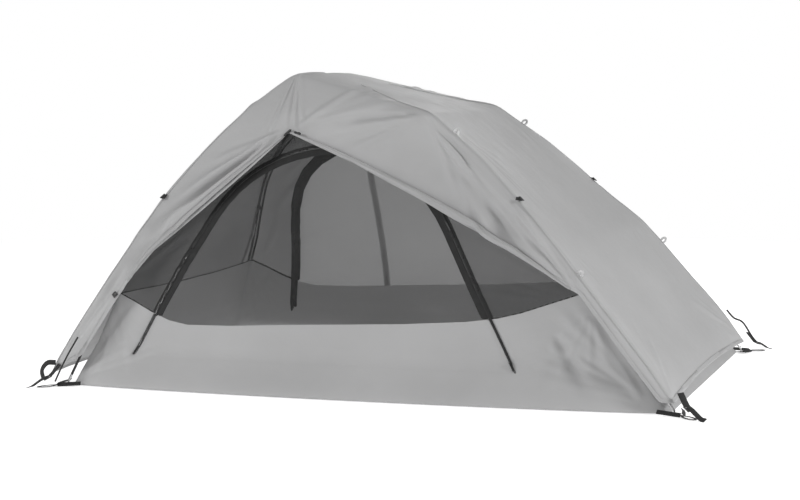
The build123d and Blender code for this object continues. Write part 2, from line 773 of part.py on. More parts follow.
with BuildPart() as fly_straps:
    for side in CORNERS:
        flat = corner_plane(side, HINGE_Z)
        with Locations(flat):
            with Locations((HINGE_OUT, 0, 0)):
                Cylinder(BUCKLE_BAR_R + EYE_WALL, STRAP_WIDTH, rotation=(90, 0, 0))
            with Locations((HINGE_OUT - STRAP_END[1], 0, STRAP_END[2])):
                Box(STRAP_END[0], STRAP_WIDTH, WEBBING_THICK, rotation=(0, BUCKLE_FALL, 0))
            with Locations((HINGE_OUT, 0, 0)):
                Cylinder(BUCKLE_BAR_R + RUNNING_GAP, 2 * STRAP_WIDTH, rotation=(90, 0, 0),
                         mode=Mode.SUBTRACT)
save(fly_straps, "fly_corner_straps")

for side, name in zip(CORNERS, CORNER_NAMES):
    flat = corner_plane(side, HINGE_Z)
    with BuildPart() as buckle:
        with Locations(flat):
            with Locations(Location((HINGE_OUT, 0, 0), (0, BUCKLE_FALL, 0))):
                Cylinder(BUCKLE_BAR_R, BUCKLE_WIDTH - RAIL, rotation=(90, 0, 0))
                with Locations((RAIL_MIDDLE, RAIL_SIDE, 0), (RAIL_MIDDLE, -RAIL_SIDE, 0)):
                    Box(BUCKLE_LENGTH, RAIL, RAIL)
                with Locations((BAR_SPOTS[0], 0, 0), (BAR_SPOTS[1], 0, 0)):
                    Box(RAIL, BUCKLE_WIDTH - 6, BAR_THICK)
    save(buckle, name + "_buckle")
    with BuildPart() as tension:
        with Locations(flat):
            with Locations(Location((HINGE_OUT, 0, 0), (0, BUCKLE_FALL, 0))):
                with Locations((TENSION_OUT, 0, TENSION_LIFT)):
                    Box(TENSION_LENGTH, STRAP_WIDTH - 2, WEBBING_THICK)
    save(tension, name + "_tension_strap")
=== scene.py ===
"""Looks of the dome tent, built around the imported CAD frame. Lengths are in metres."""
import json
import math

import bmesh
import bpy
import numpy as np
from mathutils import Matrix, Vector


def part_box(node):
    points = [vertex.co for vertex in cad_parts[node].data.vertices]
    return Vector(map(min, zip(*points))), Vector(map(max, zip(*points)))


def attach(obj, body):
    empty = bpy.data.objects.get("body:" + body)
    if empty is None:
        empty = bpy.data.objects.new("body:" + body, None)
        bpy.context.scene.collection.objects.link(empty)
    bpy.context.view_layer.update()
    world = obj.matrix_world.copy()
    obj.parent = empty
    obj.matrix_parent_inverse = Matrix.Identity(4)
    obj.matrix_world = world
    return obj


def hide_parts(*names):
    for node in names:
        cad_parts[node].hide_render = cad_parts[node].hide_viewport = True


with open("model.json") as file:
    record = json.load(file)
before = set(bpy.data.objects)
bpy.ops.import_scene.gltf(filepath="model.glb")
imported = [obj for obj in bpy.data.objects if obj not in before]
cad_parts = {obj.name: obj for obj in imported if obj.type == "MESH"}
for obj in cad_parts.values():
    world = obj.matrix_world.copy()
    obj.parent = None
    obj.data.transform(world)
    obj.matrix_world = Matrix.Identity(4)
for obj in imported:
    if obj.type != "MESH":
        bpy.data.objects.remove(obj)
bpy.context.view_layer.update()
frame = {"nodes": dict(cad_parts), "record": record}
nodes = frame["nodes"]

# ------------------------------------------------------------------ driving dimensions
HALF_LENGTH = 1.067
HALF_WIDTH = 0.762
PEAK = (-0.380, 0.288, 1.090)
CREST = (-0.360, 0.018)
SHOULDER = 0.950
FLY_HEM = 0.042
FLY_HEM_RISE = 0.018
FLY_TOP_GAP = 0.012
POLE_CLEAR = 0.009
FOLD_DEPTH = 1.4
RIGHT_POLE = [
    (-0.222, 0.148, 1.041), (-0.063, 0.296, 1.004), (0.052, 0.403, 0.977), (0.100, 0.447, 0.965),
    (0.150, 0.486, 0.944), (0.205, 0.517, 0.912), (0.355, 0.556, 0.810), (0.527, 0.608, 0.650),
    (0.735, 0.671, 0.420), (0.960, 0.735, 0.150),
]
LEFT_POLE = [
    (-0.475, 0.115, 1.012), (-0.622, 0.280, 0.880), (-0.735, 0.398, 0.762), (-0.816, 0.490, 0.650),
    (-0.917, 0.638, 0.420), (-1.024, 0.732, 0.150),
]
FLY_HEM_GAP = 0.047
INNER_GAP = 0.028
APEX = (-0.373, 0.888)
LEFT_CORNER = (-0.905, 0.322)
RIGHT_CORNER = (0.745, 0.376)
DOOR_SILL = 0.105
DOOR_GAP = 0.003
SEAM_TAPE = 0.012
TUB_FLARE = 0.070

# Ridge lines of the pole frame: height, left x, left half-width, right x, right half-width.
RIDGES = np.array([
    (0.0, -HALF_LENGTH, HALF_WIDTH, HALF_LENGTH, HALF_WIDTH),
    (0.150, -1.025, 0.730, 0.960, 0.733),
    (0.300, -0.972, 0.690, 0.835, 0.700),
    (0.420, -0.922, 0.640, 0.735, 0.671),
    (0.530, -0.880, 0.575, 0.642, 0.643),
    (0.650, -0.823, 0.495, 0.527, 0.608),
    (0.810, -0.718, 0.400, 0.355, 0.556),
    (0.950, -0.585, 0.340, 0.164, 0.504),
])
RIDGE_SLOPES = np.gradient(RIDGES[:, 1:], RIDGES[:, 0], axis=0)

# Outlines in front view, as (x, z) points.
HEM_STEP = (-1.015, 0.122)
RIGHT_EDGE = [(-0.10, 0.786), (0.19, 0.657), (0.459, 0.526)]
FLY_OPENING = [APEX, *RIGHT_EDGE, RIGHT_CORNER, (1.070, 0.0), (-1.080, 0.0), HEM_STEP, LEFT_CORNER, (-0.803, 0.475)]
FLY_HEM_NOTCH = [HEM_STEP, (-0.90, 0.0), (-1.200, 0.0), (-1.133, 0.042)]
TUB_SEAM = [
    (-1.2, 0.324), (-0.935, 0.322), (-0.870, 0.294), (-0.800, 0.260), (-0.730, 0.233), (-0.660, 0.220),
    (-0.500, 0.222), (-0.320, 0.231), (0.120, 0.250), (0.350, 0.266), (0.460, 0.281), (0.540, 0.301),
    (0.630, 0.332), (0.770, 0.380), (1.2, 0.385),
]
DOOR_CROWN = (-0.165, 0.838)
DOOR_RIGHT = [(0.262, 0.575), (0.530, DOOR_SILL)]
FRONT_DOOR = [(-0.850, DOOR_SILL), (-0.625, 0.590)]
REAR_DOOR = [(-0.775, DOOR_SILL), (-0.725, 0.450)]
FRONT_ARCH_PULL = (1.1, 1.1)
REAR_ARCH_PULL = (1.5, 1.2)

# How far the fly's corner ridges stand out from the frame: height, outward shift in x.
LEFT_FLARE = [(0.0, 0.040), (0.10, 0.036), (0.19, 0.022), (0.31, 0.004), (0.45, -0.004), (0.66, -0.015),
              (0.80, -0.025), (0.95, -0.026)]
FRONT_RIGHT_FLARE = [(0.0, 0.0), (0.55, 0.0), (0.70, 0.006), (0.95, 0.008)]
REAR_RIGHT_FLARE = [(0.0, 0.004), (0.06, 0.008), (0.20, 0.022), (0.41, 0.034), (0.52, 0.034), (0.64, 0.010),
                    (0.72, -0.004), (0.79, -0.018), (0.88, -0.020), (0.95, -0.014)]


# ------------------------------------------------------------------ maths
def smooth(low, high, value):
    share = np.clip((value - low) / (high - low), 0, 1)
    return share * share * (3 - 2 * share)


def ridge_at(height):
    """Smooth ridge lines at an array of heights, as rows of left x, half, right x, half."""
    height = np.atleast_1d(np.asarray(height, float))
    place = np.clip(np.searchsorted(RIDGES[:, 0], height, side="right") - 1, 0, len(RIDGES) - 2)
    low, high = RIDGES[place, 0], RIDGES[place + 1, 0]
    step = (high - low)[:, None]
    t = (height - low)[:, None] / step
    a, b = RIDGES[place, 1:], RIDGES[place + 1, 1:]
    leave, arrive = RIDGE_SLOPES[place] * step, RIDGE_SLOPES[place + 1] * step
    curved = ((2 * t**3 - 3 * t**2 + 1) * a + (t**3 - 2 * t**2 + t) * leave
              + (3 * t**2 - 2 * t**3) * b + (t**3 - t**2) * arrive)
    return (curved + a + (b - a) * t) / 2


def fly_gap(height):
    share = np.clip(1 - np.asarray(height, float) / SHOULDER, 0, 1)
    return FLY_TOP_GAP + (FLY_HEM_GAP - FLY_TOP_GAP) * share**2


def inner_gap(height):
    return -INNER_GAP * np.clip(np.asarray(height, float) / 0.150, 0, 1)


def noise(points, scale, seed):
    """Smooth repeatable value noise in -1..1 at an array of 3-D points."""
    p = np.asarray(points, float) / scale + seed * 17.13
    base = np.floor(p).astype(np.int64)
    part = p - base
    part = part * part * (3 - 2 * part)
    total = np.zeros(p.shape[:-1])
    for corner in range(8):
        step = np.array([corner & 1, corner >> 1 & 1, corner >> 2 & 1])
        cell = base + step
        key = cell[..., 0] * 73856093 ^ cell[..., 1] * 19349663 ^ cell[..., 2] * 83492791
        value = np.sin((key % 100003) * 12.9898) * 43758.5453
        value = (value - np.floor(value)) * 2 - 1
        total += value * np.prod(np.where(step == 1, part, 1 - part), axis=-1)
    return total


def fold(u, v, start, end, width, height, grow=0.9, tail=0.62):
    """One crease between two points of a panel, with a hollow on each side; it widens as it goes."""
    a, b = np.array(start, float), np.array(end, float)
    along = b - a
    length = np.hypot(*along)
    share = ((u - a[0]) * along[0] + (v - a[1]) * along[1]) / length**2
    across = ((u - a[0]) * along[1] - (v - a[1]) * along[0]) / length
    spread = width * (0.5 + grow * np.clip(share, 0, 1))
    ratio = across / spread
    body = (1 - ratio**2) * np.exp(-ratio**2 * 0.9)
    return height * body * smooth(-0.02, 0.14, share) * smooth(1.04, tail, share)


def fan(u, v, centre, start_angle, end_angle, count, reach, width, height, seed):
    """Creases that spread from one point, with uneven length, width and height."""
    draw = np.random.default_rng(seed)
    total = np.zeros_like(u)
    for index in range(count):
        angle = start_angle + (end_angle - start_angle) * (index + 0.5 + draw.uniform(-0.3, 0.3)) / count
        far = reach * draw.uniform(0.55, 1.15)
        turn = math.radians(angle)
        way = np.array([math.cos(turn), math.sin(turn)])
        start = np.array(centre) + 0.012 * way
        total += fold(u, v, start, np.array(centre) + far * way,
                      width * draw.uniform(0.6, 1.4), height * draw.uniform(0.4, 1.2))
    return total


def outside(points, outline):
    """Signed distance outside a convex outline that is given clockwise in front view."""
    x, z = points[..., 0], points[..., 2]
    best = np.full(x.shape, -9.0)
    for (ax, az), (bx, bz) in zip(outline, outline[1:] + outline[:1]):
        length = math.hypot(bx - ax, bz - az)
        best = np.maximum(best, ((x - ax) * (az - bz) + (z - az) * (bx - ax)) / length)
    return best


def above_seam(points):
    """Height above the line where the tub meets the mesh, measured square to the line."""
    line = np.array(TUB_SEAM)
    level = np.interp(points[..., 0], line[:, 0], line[:, 1])
    lean = np.interp(points[..., 0], line[:, 0], np.gradient(line[:, 1], line[:, 0]))
    return (points[..., 2] - level) / np.hypot(1, lean)


def door_outline(left, pull):
    """Convex arch of a door: left leg, curved top, right leg, sill. Clockwise from the left foot."""
    def bend(start, start_way, end, end_way, pulls, steps=9):
        start, end = np.array(start), np.array(end)
        reach = np.hypot(*(end - start))
        t = np.linspace(0, 1, steps, endpoint=False)[:, None]
        return ((2 * t**3 - 3 * t**2 + 1) * start + (t**3 - 2 * t**2 + t) * reach * pulls[0] * start_way
                + (3 * t**2 - 2 * t**3) * end + (t**3 - t**2) * reach * pulls[1] * end_way)

    def unit(a, b):
        way = np.array(b) - np.array(a)
        return way / np.hypot(*way)

    rise = unit(*left)
    drop = unit(*DOOR_RIGHT)
    level = np.array([1.0, 0.0])
    arch = np.vstack([
        bend(left[1], rise, DOOR_CROWN, level, pull), bend(DOOR_CROWN, level, DOOR_RIGHT[0], drop, (1.0, 1.0))])
    return [left[0]] + [tuple(p) for p in arch] + DOOR_RIGHT


# ------------------------------------------------------------------ meshes
def mesh_object(name, points, faces, material):
    mesh = bpy.data.meshes.new(name)
    mesh.from_pydata([tuple(map(float, p)) for p in points], [], [tuple(map(int, f)) for f in faces])
    mesh.validate()
    mesh.update()
    obj = bpy.data.objects.new(name, mesh)
    bpy.context.scene.collection.objects.link(obj)
    mesh.materials.append(material)
    mesh.polygons.foreach_set("use_smooth", [True] * len(mesh.polygons))
    return obj


def grid_faces(rows, columns, closed=False):
    """Quads of a grid of points numbered row by row."""
    count = columns if closed else columns - 1
    r, c = np.meshgrid(np.arange(rows - 1), np.arange(count), indexing="ij")
    n = (c + 1) % columns
    corners = [r * columns + c, r * columns + n, (r + 1) * columns + n, (r + 1) * columns + c]
    return np.stack(corners, -1).reshape(-1, 4)


def clip(points, faces, values):
    """Keeps the part of a mesh where the values are positive, cutting the faces they cross zero in."""
    points = np.asarray(points, float)
    values = np.asarray(values, float)
    keep = values >= 0
    whole, mixed = [], []
    if isinstance(faces, np.ndarray):
        flags = keep[faces]
        whole = faces[flags.all(1)].tolist()
        mixed = faces[flags.any(1) & ~flags.all(1)].tolist()
    else:
        for face in faces:
            inside = sum(bool(keep[i]) for i in face)
            if inside == len(face):
                whole.append(face)
            elif inside:
                mixed.append(face)
    added, cut = [], {}
    for face in mixed:
        outline = []
        for a, b in zip(face, list(face[1:]) + [face[0]]):
            if keep[a]:
                outline.append(a)
            if keep[a] != keep[b]:
                key = (min(a, b), max(a, b))
                if key not in cut:
                    share = values[key[0]] / (values[key[0]] - values[key[1]])
                    cut[key] = len(points) + len(added)
                    added.append(points[key[0]] + (points[key[1]] - points[key[0]]) * share)
                outline.append(cut[key])
        whole.append(outline)
    if added:
        points = np.vstack([points, added])
    used = np.zeros(len(points), bool)
    for face in whole:
        for i in face:
            used[i] = True
    place = np.cumsum(used) - 1
    return points[used], [[int(place[i]) for i in face] for face in whole]


def grid_normals(grid):
    """Outward unit normals of a ring grid."""
    across = np.roll(grid, -1, 1) - np.roll(grid, 1, 1)
    along = np.gradient(grid, axis=0)
    normal = np.cross(across, along)
    return normal / np.maximum(np.linalg.norm(normal, axis=-1, keepdims=True), 1e-9)


def soften(grid, times):
    """Rounds the creases of a ring grid by averaging neighbours; the first row keeps its place."""
    for _ in range(times):
        side = (np.roll(grid, 1, 1) + np.roll(grid, -1, 1)) / 2
        upright = grid.copy()
        upright[1:-1] = (grid[:-2] + grid[2:]) / 2
        moved = grid + ((side + upright) / 2 - grid) * 0.6
        moved[0] = grid[0]
        moved[-1] = grid[-1]
        grid = moved
    return grid


def thicken(obj, amount, offset=-1.0):
    modifier = obj.modifiers.new("cloth_thickness", "SOLIDIFY")
    modifier.thickness = amount
    modifier.offset = offset
    modifier.use_rim = True
    apply_modifiers(obj)


def apply_modifiers(obj):
    """Bakes every modifier of a mesh into its vertices."""
    bpy.context.view_layer.update()
    evaluated = obj.evaluated_get(bpy.context.evaluated_depsgraph_get())
    mesh = bpy.data.meshes.new_from_object(evaluated)
    obj.modifiers.clear()
    obj.data = mesh


def finish_piece(obj, body, slot, *replaced):
    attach(obj, body)
    if replaced:
        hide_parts(*replaced)
    return obj


def smooth_path(points, steps=8):
    """Catmull-Rom curve through a few points."""
    p = np.array(points, float)
    p = np.vstack([2 * p[0] - p[1], p, 2 * p[-1] - p[-2]])
    t = np.linspace(0, 1, steps, endpoint=False)[:, None]
    rows = []
    for a, b, c, d in zip(p, p[1:], p[2:], p[3:]):
        rows.append(0.5 * (2 * b + (c - a) * t + (2 * a - 5 * b + 4 * c - d) * t**2
                           + (3 * b - a - 3 * c + d) * t**3))
    return np.vstack(rows + [p[-2]])


def sweep(path, section, face_way):
    """Points and faces of a closed section swept along a path. Its second axis points along face_way."""
    path = np.asarray(path, float)
    along = np.gradient(path, axis=0)
    along /= np.linalg.norm(along, axis=1, keepdims=True)
    face = np.broadcast_to(np.asarray(face_way, float), path.shape)
    face = face - along * (face * along).sum(1, keepdims=True)
    face = face / np.linalg.norm(face, axis=1, keepdims=True)
    side = np.cross(along, face)
    section = np.asarray(section, float)
    if section.ndim == 2:
        section = np.broadcast_to(section, (len(path),) + section.shape)
    grid = path[:, None] + section[..., :1] * side[:, None] + section[..., 1:] * face[:, None]
    rows, columns, _ = grid.shape
    faces = [list(f) for f in grid_faces(rows, columns, True)]
    faces.append(list(range(columns))[::-1])
    faces.append([(rows - 1) * columns + i for i in range(columns)])
    return grid.reshape(-1, 3), faces


def swept_piece(name, sweeps, material, body, slot, *replaced):
    """One piece made of several swept lengths."""
    points, faces = [], []
    for spots, part_faces in sweeps:
        start = sum(len(p) for p in points)
        points.append(spots)
        faces += [[int(i) + start for i in face] for face in part_faces]
    piece = mesh_object(name, np.vstack(points), faces, material)
    bm = bmesh.new()
    bm.from_mesh(piece.data)
    bmesh.ops.recalc_face_normals(bm, faces=bm.faces)
    bm.to_mesh(piece.data)
    bm.free()
    return finish_piece(piece, body, slot, *replaced)


def strap(spots, width, face_way=(0, 0, 1), thickness=0.0016):
    return sweep(smooth_path(spots, 9), flat_section(width, thickness), face_way)


def cord(spots, radius, face_way=(0.2, -1, 0.3)):
    return sweep(smooth_path(spots, 9), round_section(radius), face_way)


def flat_section(width, thickness):
    """Cross-section of a strap with rounded edges."""
    w, t = width / 2, thickness / 2
    return [(-w, -t * 0.4), (-w * 0.94, -t), (w * 0.94, -t), (w, -t * 0.4),
            (w, t * 0.4), (w * 0.94, t), (-w * 0.94, t), (-w, t * 0.4)]


def round_section(radius, count=10):
    turns = np.linspace(0, 2 * math.pi, count, endpoint=False)
    return np.stack([np.cos(turns) * radius, np.sin(turns) * radius], -1)


# ------------------------------------------------------------------ materials
class Shader:
    """A small helper for node materials."""

    def __init__(self, name):
        self.material = bpy.data.materials.new(name)
        self.material.use_nodes = True
        self.tree = self.material.node_tree
        self.tree.nodes.clear()
        self.output = self.add("ShaderNodeOutputMaterial")

    def add(self, kind, **settings):
        node = self.tree.nodes.new(kind)
        for key, value in settings.items():
            setattr(node, key, value)
        return node

    def link(self, source, target):
        self.tree.links.new(source, target)

    def position(self, scale=(1, 1, 1)):
        place = self.add("ShaderNodeTexCoord")
        mapping = self.add("ShaderNodeMapping")
        mapping.inputs["Scale"].default_value = scale
        self.link(place.outputs["Object"], mapping.inputs["Vector"])
        return mapping.outputs["Vector"]

    def noise(self, scale, detail=4.0, stretch=(1, 1, 1), rough=0.55):
        node = self.add("ShaderNodeTexNoise")
        node.inputs["Scale"].default_value = scale
        node.inputs["Detail"].default_value = detail
        node.inputs["Roughness"].default_value = rough
        self.link(self.position(stretch), node.inputs["Vector"])
        return node.outputs["Fac"]

    def ramp(self, source, low, high, low_at=0.3, high_at=0.7):
        node = self.add("ShaderNodeValToRGB")
        for element, place, colour in zip(node.color_ramp.elements, (low_at, high_at), (low, high)):
            element.position = place
            element.color = (*colour, 1)
        self.link(source, node.inputs["Fac"])
        return node.outputs["Color"]

    def math(self, operation, first, second=None, clamp=False):
        node = self.add("ShaderNodeMath", operation=operation, use_clamp=clamp)
        for slot, value in zip(node.inputs, (first, second)):
            if isinstance(value, (int, float)):
                slot.default_value = value
            elif value is not None:
                self.link(value, slot)
        return node.outputs[0]

    def weave(self, threads_per_metre, axes=(0, 2)):
        """Height of a plain weave: two crossed sets of rounded threads."""
        separate = self.add("ShaderNodeSeparateXYZ")
        self.link(self.position(), separate.inputs[0])
        turns = [self.math("MULTIPLY", separate.outputs[a], threads_per_metre * math.pi) for a in axes]
        waves = [self.math("ABSOLUTE", self.math("SINE", turn)) for turn in turns]
        return self.math("MULTIPLY", waves[0], waves[1])

    def bump(self, height, strength, distance, below=None):
        node = self.add("ShaderNodeBump")
        node.inputs["Strength"].default_value = strength
        node.inputs["Distance"].default_value = distance
        self.link(height, node.inputs["Height"])
        if below is not None:
            self.link(below, node.inputs["Normal"])
        return node.outputs["Normal"]

    def principled(self, colour, roughness, normal=None, **inputs):
        node = self.add("ShaderNodeBsdfPrincipled")
        self.link(colour, node.inputs["Base Color"])
        if isinstance(roughness, (int, float)):
            node.inputs["Roughness"].default_value = roughness
        else:
            self.link(roughness, node.inputs["Roughness"])
        for key, value in inputs.items():
            node.inputs[key.replace("_", " ")].default_value = value
        if normal is not None:
            self.link(normal, node.inputs["Normal"])
        return node.outputs[0]

    def mix(self, amount, first, second):
        node = self.add("ShaderNodeMixShader")
        if isinstance(amount, (int, float)):
            node.inputs[0].default_value = amount
        else:
            self.link(amount, node.inputs[0])
        self.link(first, node.inputs[1])
        self.link(second, node.inputs[2])
        return node.outputs[0]

    def finish(self, surface):
        self.link(surface, self.output.inputs["Surface"])
        return self.material


def grey(value):
    return (value, value, value * 1.004)


def coated_cloth(name, tone, glow, crinkle=0.3):
    """Thin coated polyester: faint weave, small crinkles, soft sheen, and light that comes through."""
    s = Shader(name)
    fine = s.noise(38.0, 5.0, (1, 1, 1), 0.6)
    colour = s.ramp(s.noise(2.2, 3.0), grey(tone * 0.95), grey(tone * 1.04))
    normal = s.bump(s.weave(1400), 0.05, 0.0004)
    normal = s.bump(fine, crinkle, 0.003, normal)
    normal = s.bump(s.noise(9.0, 3.0), crinkle * 0.6, 0.008, normal)
    rough = s.ramp(fine, grey(0.42), grey(0.56))
    front = s.principled(colour, rough, normal, Specular_IOR_Level=0.35, Sheen_Weight=0.1, Sheen_Roughness=0.5)
    through = s.add("ShaderNodeBsdfTranslucent")
    s.link(colour, through.inputs["Color"])
    s.link(normal, through.inputs["Normal"])
    return s.finish(s.mix(glow, front, through.outputs[0]))


def mesh_cloth(name, tone, cover):
    """Fine insect mesh: dark threads that let most of the view through."""
    s = Shader(name)
    colour = s.ramp(s.noise(6.0, 3.0), grey(tone * 0.8), grey(tone * 1.25))
    normal = s.bump(s.noise(45.0, 3.0), 0.25, 0.003)
    threads = s.principled(colour, 0.7, normal, Sheen_Weight=0.05, Sheen_Roughness=0.4)
    clear = s.add("ShaderNodeBsdfTransparent")
    holes = s.math("ADD", s.math("MULTIPLY", s.weave(950), 0.16), cover - 0.08)
    facing = s.add("ShaderNodeLayerWeight")
    facing.inputs["Blend"].default_value = 0.25
    amount = s.math("ADD", holes, s.math("MULTIPLY", facing.outputs["Facing"], 0.22), clamp=True)
    return s.finish(s.mix(amount, clear.outputs[0], threads))


def woven_tape(name, tone, ribs=900.0):
    """Heavy woven tape with fine ribs and a fuzzy surface."""
    s = Shader(name)
    colour = s.ramp(s.noise(60.0, 4.0), grey(tone * 0.75), grey(tone * 1.35))
    normal = s.bump(s.weave(ribs, (0, 1)), 0.5, 0.0006)
    normal = s.bump(s.weave(ribs * 0.8, (1, 2)), 0.4, 0.0006, normal)
    return s.finish(s.principled(colour, 0.72, normal, Sheen_Weight=0.05, Sheen_Roughness=0.45))


def moulded(name, tone, rough=0.38):
    """Injection-moulded plastic with a fine grain, lighter along its sharp convex edges."""
    s = Shader(name)
    edges = s.add("ShaderNodeNewGeometry")
    # Lighter along sharp convex edges, taken from the pointiness of the mesh.
    edge_lightening = s.ramp(edges.outputs["Pointiness"], grey(tone), grey(tone * 2.2), 0.5, 0.6)
    normal = s.bump(s.noise(900.0, 2.0), 0.25, 0.0003)
    roughness = s.ramp(s.noise(40.0, 3.0), grey(rough - 0.07), grey(rough + 0.1))
    return s.finish(s.principled(edge_lightening, roughness, normal))


def alloy(name, tone, rough=0.3, drawn=True):
    """Aluminium with drawn marks along the tube."""
    s = Shader(name)
    drift = s.noise(25.0, 4.0)
    colour = s.ramp(drift, grey(tone * 0.9), grey(tone * 1.08))
    normal = s.bump(s.noise(260.0, 3.0, (1, 1, 0.12) if drawn else (1, 1, 1)), 0.12, 0.0004)
    roughness = s.ramp(drift, grey(rough - 0.05), grey(rough + 0.1))
    return s.finish(s.principled(colour, roughness, normal, Metallic=0.95))


FLY = coated_cloth("fly_cloth", 0.52, 0.30)
FLAP = coated_cloth("fly_flap_cloth", 0.42, 0.20, 0.5)
TUB = coated_cloth("tub_cloth", 0.53, 0.32, 0.3)
# The door mesh is a lighter, sparser copy of the wall mesh (threads 0.16 against 0.045): painted light for the
# brightness the fly lets into the tent.
MESH = mesh_cloth("insect_mesh", 0.16, 0.12)
SIDE_MESH = mesh_cloth("insect_mesh_walls", 0.045, 0.52)
TAPE = woven_tape("zip_tape", 0.009)
WEBBING = woven_tape("black_webbing", 0.009, 650.0)
LIGHT_TAPE = woven_tape("light_tape", 0.50, 800.0)
PLASTIC = moulded("black_plastic", 0.012)
COIL = moulded("zip_coil_nylon", 0.010, 0.3)
CORD = woven_tape("braided_cord", 0.02, 1500.0)
SHOCK = moulded("shock_cord_sheath", 0.03, 0.6)
POLE = alloy("pole_alloy", 0.06, 0.34)
TIP = alloy("tip_alloy", 0.62, 0.25, False)
GROMMET = alloy("grommet_nickel", 0.58, 0.22, False)
SLIDER = alloy("slider_black_metal", 0.05, 0.35, False)
SLOT_MATERIALS = {
    "moulded_plastic": PLASTIC, "pole_alloy": POLE, "tip_alloy": TIP, "grommet_metal": GROMMET,
    "slider_metal": SLIDER, "cord": CORD, "shock_cord": SHOCK, "webbing": WEBBING,
    "zip_coil": COIL, "zip_tape": TAPE, "light_webbing": LIGHT_TAPE, "fly_fabric": FLY,
    "tub_fabric": TUB, "canopy_mesh": MESH,
}
for entry in frame["record"]["subparts"]:
    node = nodes[entry["node"]]
    node.data.materials.clear()
    node.data.materials.append(SLOT_MATERIALS[entry["material_slot"]])


# ------------------------------------------------------------------ tent skins
class Skin:
    """A tent skin as rings of points. Columns run along the front, low end, back and high end."""

    def __init__(self, gap_at, hem, top_gap, low_rows, roof_rows, front_columns, end_columns, softness, flared):
        self.counts = (front_columns, end_columns, front_columns, end_columns)
        heights = hem + (SHOULDER - hem) * np.linspace(0, 1, low_rows)
        table = ridge_at(heights)
        gap = gap_at(heights)
        level = heights + gap * smooth(0.65, SHOULDER, heights)
        left = np.stack([table[:, 0] - gap, -table[:, 1] - gap, level], -1)
        right = np.stack([table[:, 2] + gap, -table[:, 3] - gap, level], -1)
        self.facets = self.roof_facets(left[-1], right[-1], top_gap)
        flip = np.array([1, -1, 1])
        corners = [left, right, right * flip, left * flip]
        if flared:
            for corner, way, flare in (
                    (0, -1, LEFT_FLARE), (1, 1, FRONT_RIGHT_FLARE), (2, 1, REAR_RIGHT_FLARE), (3, -1, LEFT_FLARE)):
                corners[corner] = corners[corner].copy()
                corners[corner][:, 0] += way * np.interp(heights, *np.array(flare).T)
        walls = self.ring(corners)
        rim = walls[-1]
        centre = np.array([PEAK[0] + 0.02, 0.0])
        step = np.linspace(0, 1, roof_rows + 1)[1:, None, None] * 0.985
        flat = centre + (rim[None, :, :2] - centre) * (1 - step)
        settle = (rim[:, 2] - self.roof_height(rim, softness)) * (1 - smooth(0, 0.3, step[..., 0]))
        roof = np.concatenate([flat, (self.roof_height(flat, softness) + settle)[..., None]], -1)
        self.grid = np.concatenate([walls, roof])
        self.wall_rows = low_rows
        starts = np.concatenate([[0], np.cumsum(self.counts)])
        self.panel = np.repeat(np.arange(4), self.counts)
        self.across = (np.arange(starts[-1]) - starts[self.panel]) / np.array(self.counts)[self.panel]
        self.rise = np.linspace(0, 1, len(self.grid))[:, None]
        self.starts = starts

    def ring(self, corners):
        parts = []
        for a, b, count in zip(corners, corners[1:] + corners[:1], self.counts):
            t = np.linspace(0, 1, count, endpoint=False)[None, :, None]
            parts.append(a[:, None] * (1 - t) + b[:, None] * t)
        return np.concatenate(parts, 1)

    def roof_facets(self, left, right, gap):
        """Planes of the roof as (slope x, slope y, height at the origin)."""
        flip = np.array([1, -1, 1])
        peak = np.array([PEAK[0] - gap, -PEAK[1] - gap, PEAK[2] + gap])
        crest = np.array([CREST[0] + gap, -CREST[1] - gap, PEAK[2] + gap])
        trios = [
            (right, right * flip, crest), (left, left * flip, peak), (left, right, peak), (peak, crest, right),
            (left * flip, right * flip, peak * flip), (peak * flip, crest * flip, right * flip),
            (peak, crest, peak * flip),
        ]
        planes = []
        for a, b, c in trios:
            normal = np.cross(b - a, c - a)
            planes.append((-normal[0] / normal[2], -normal[1] / normal[2], a @ normal / normal[2]))
        return planes

    def roof_height(self, points, softness):
        levels = [p[0] * points[..., 0] + p[1] * points[..., 1] + p[2] for p in self.facets]
        lowest = np.min(levels, axis=0)
        return lowest - softness * np.log(sum(np.exp((lowest - level) / softness) for level in levels))

    def to_corner(self):
        """Distance along the ring to the nearest corner ridge, per point."""
        ring_step = np.linalg.norm(np.roll(self.grid, -1, 1) - self.grid, axis=-1)
        share = np.minimum(self.across, 1 - self.across)
        count = np.array(self.counts)[self.panel]
        return share[None] * count[None] * ring_step

    def points(self):
        return self.grid.reshape(-1, 3)

    def faces(self):
        """Ring quads; the small ring in the middle of the roof stays open."""
        return grid_faces(len(self.grid), self.grid.shape[1], True)

    def cut(self, *values, offset=0.0):
        """Points and faces where every value is positive, moved out along the normals."""
        points = self.grid + grid_normals(self.grid) * offset if offset else self.grid
        points = points.reshape(-1, 3)
        faces = self.faces()
        least = np.minimum.reduce([np.broadcast_to(v, self.grid.shape[:2]).reshape(-1) for v in values])
        return clip(points, faces, least)


def close_roof(obj):
    """Fills the small ring left in the middle of a roof."""
    bm = bmesh.new()
    bm.from_mesh(obj.data)
    top = max(v.co.z for v in bm.verts)
    rim = [e for e in bm.edges if e.is_boundary and min(v.co.z for v in e.verts) > top - 0.02]
    if rim:
        bmesh.ops.holes_fill(bm, edges=rim, sides=0)
        bmesh.ops.poke(bm, faces=[f for f in bm.faces if len(f.verts) > 12])
    bm.normal_update()
    bm.to_mesh(obj.data)
    bm.free()
    obj.data.polygons.foreach_set("use_smooth", [True] * len(obj.data.polygons))


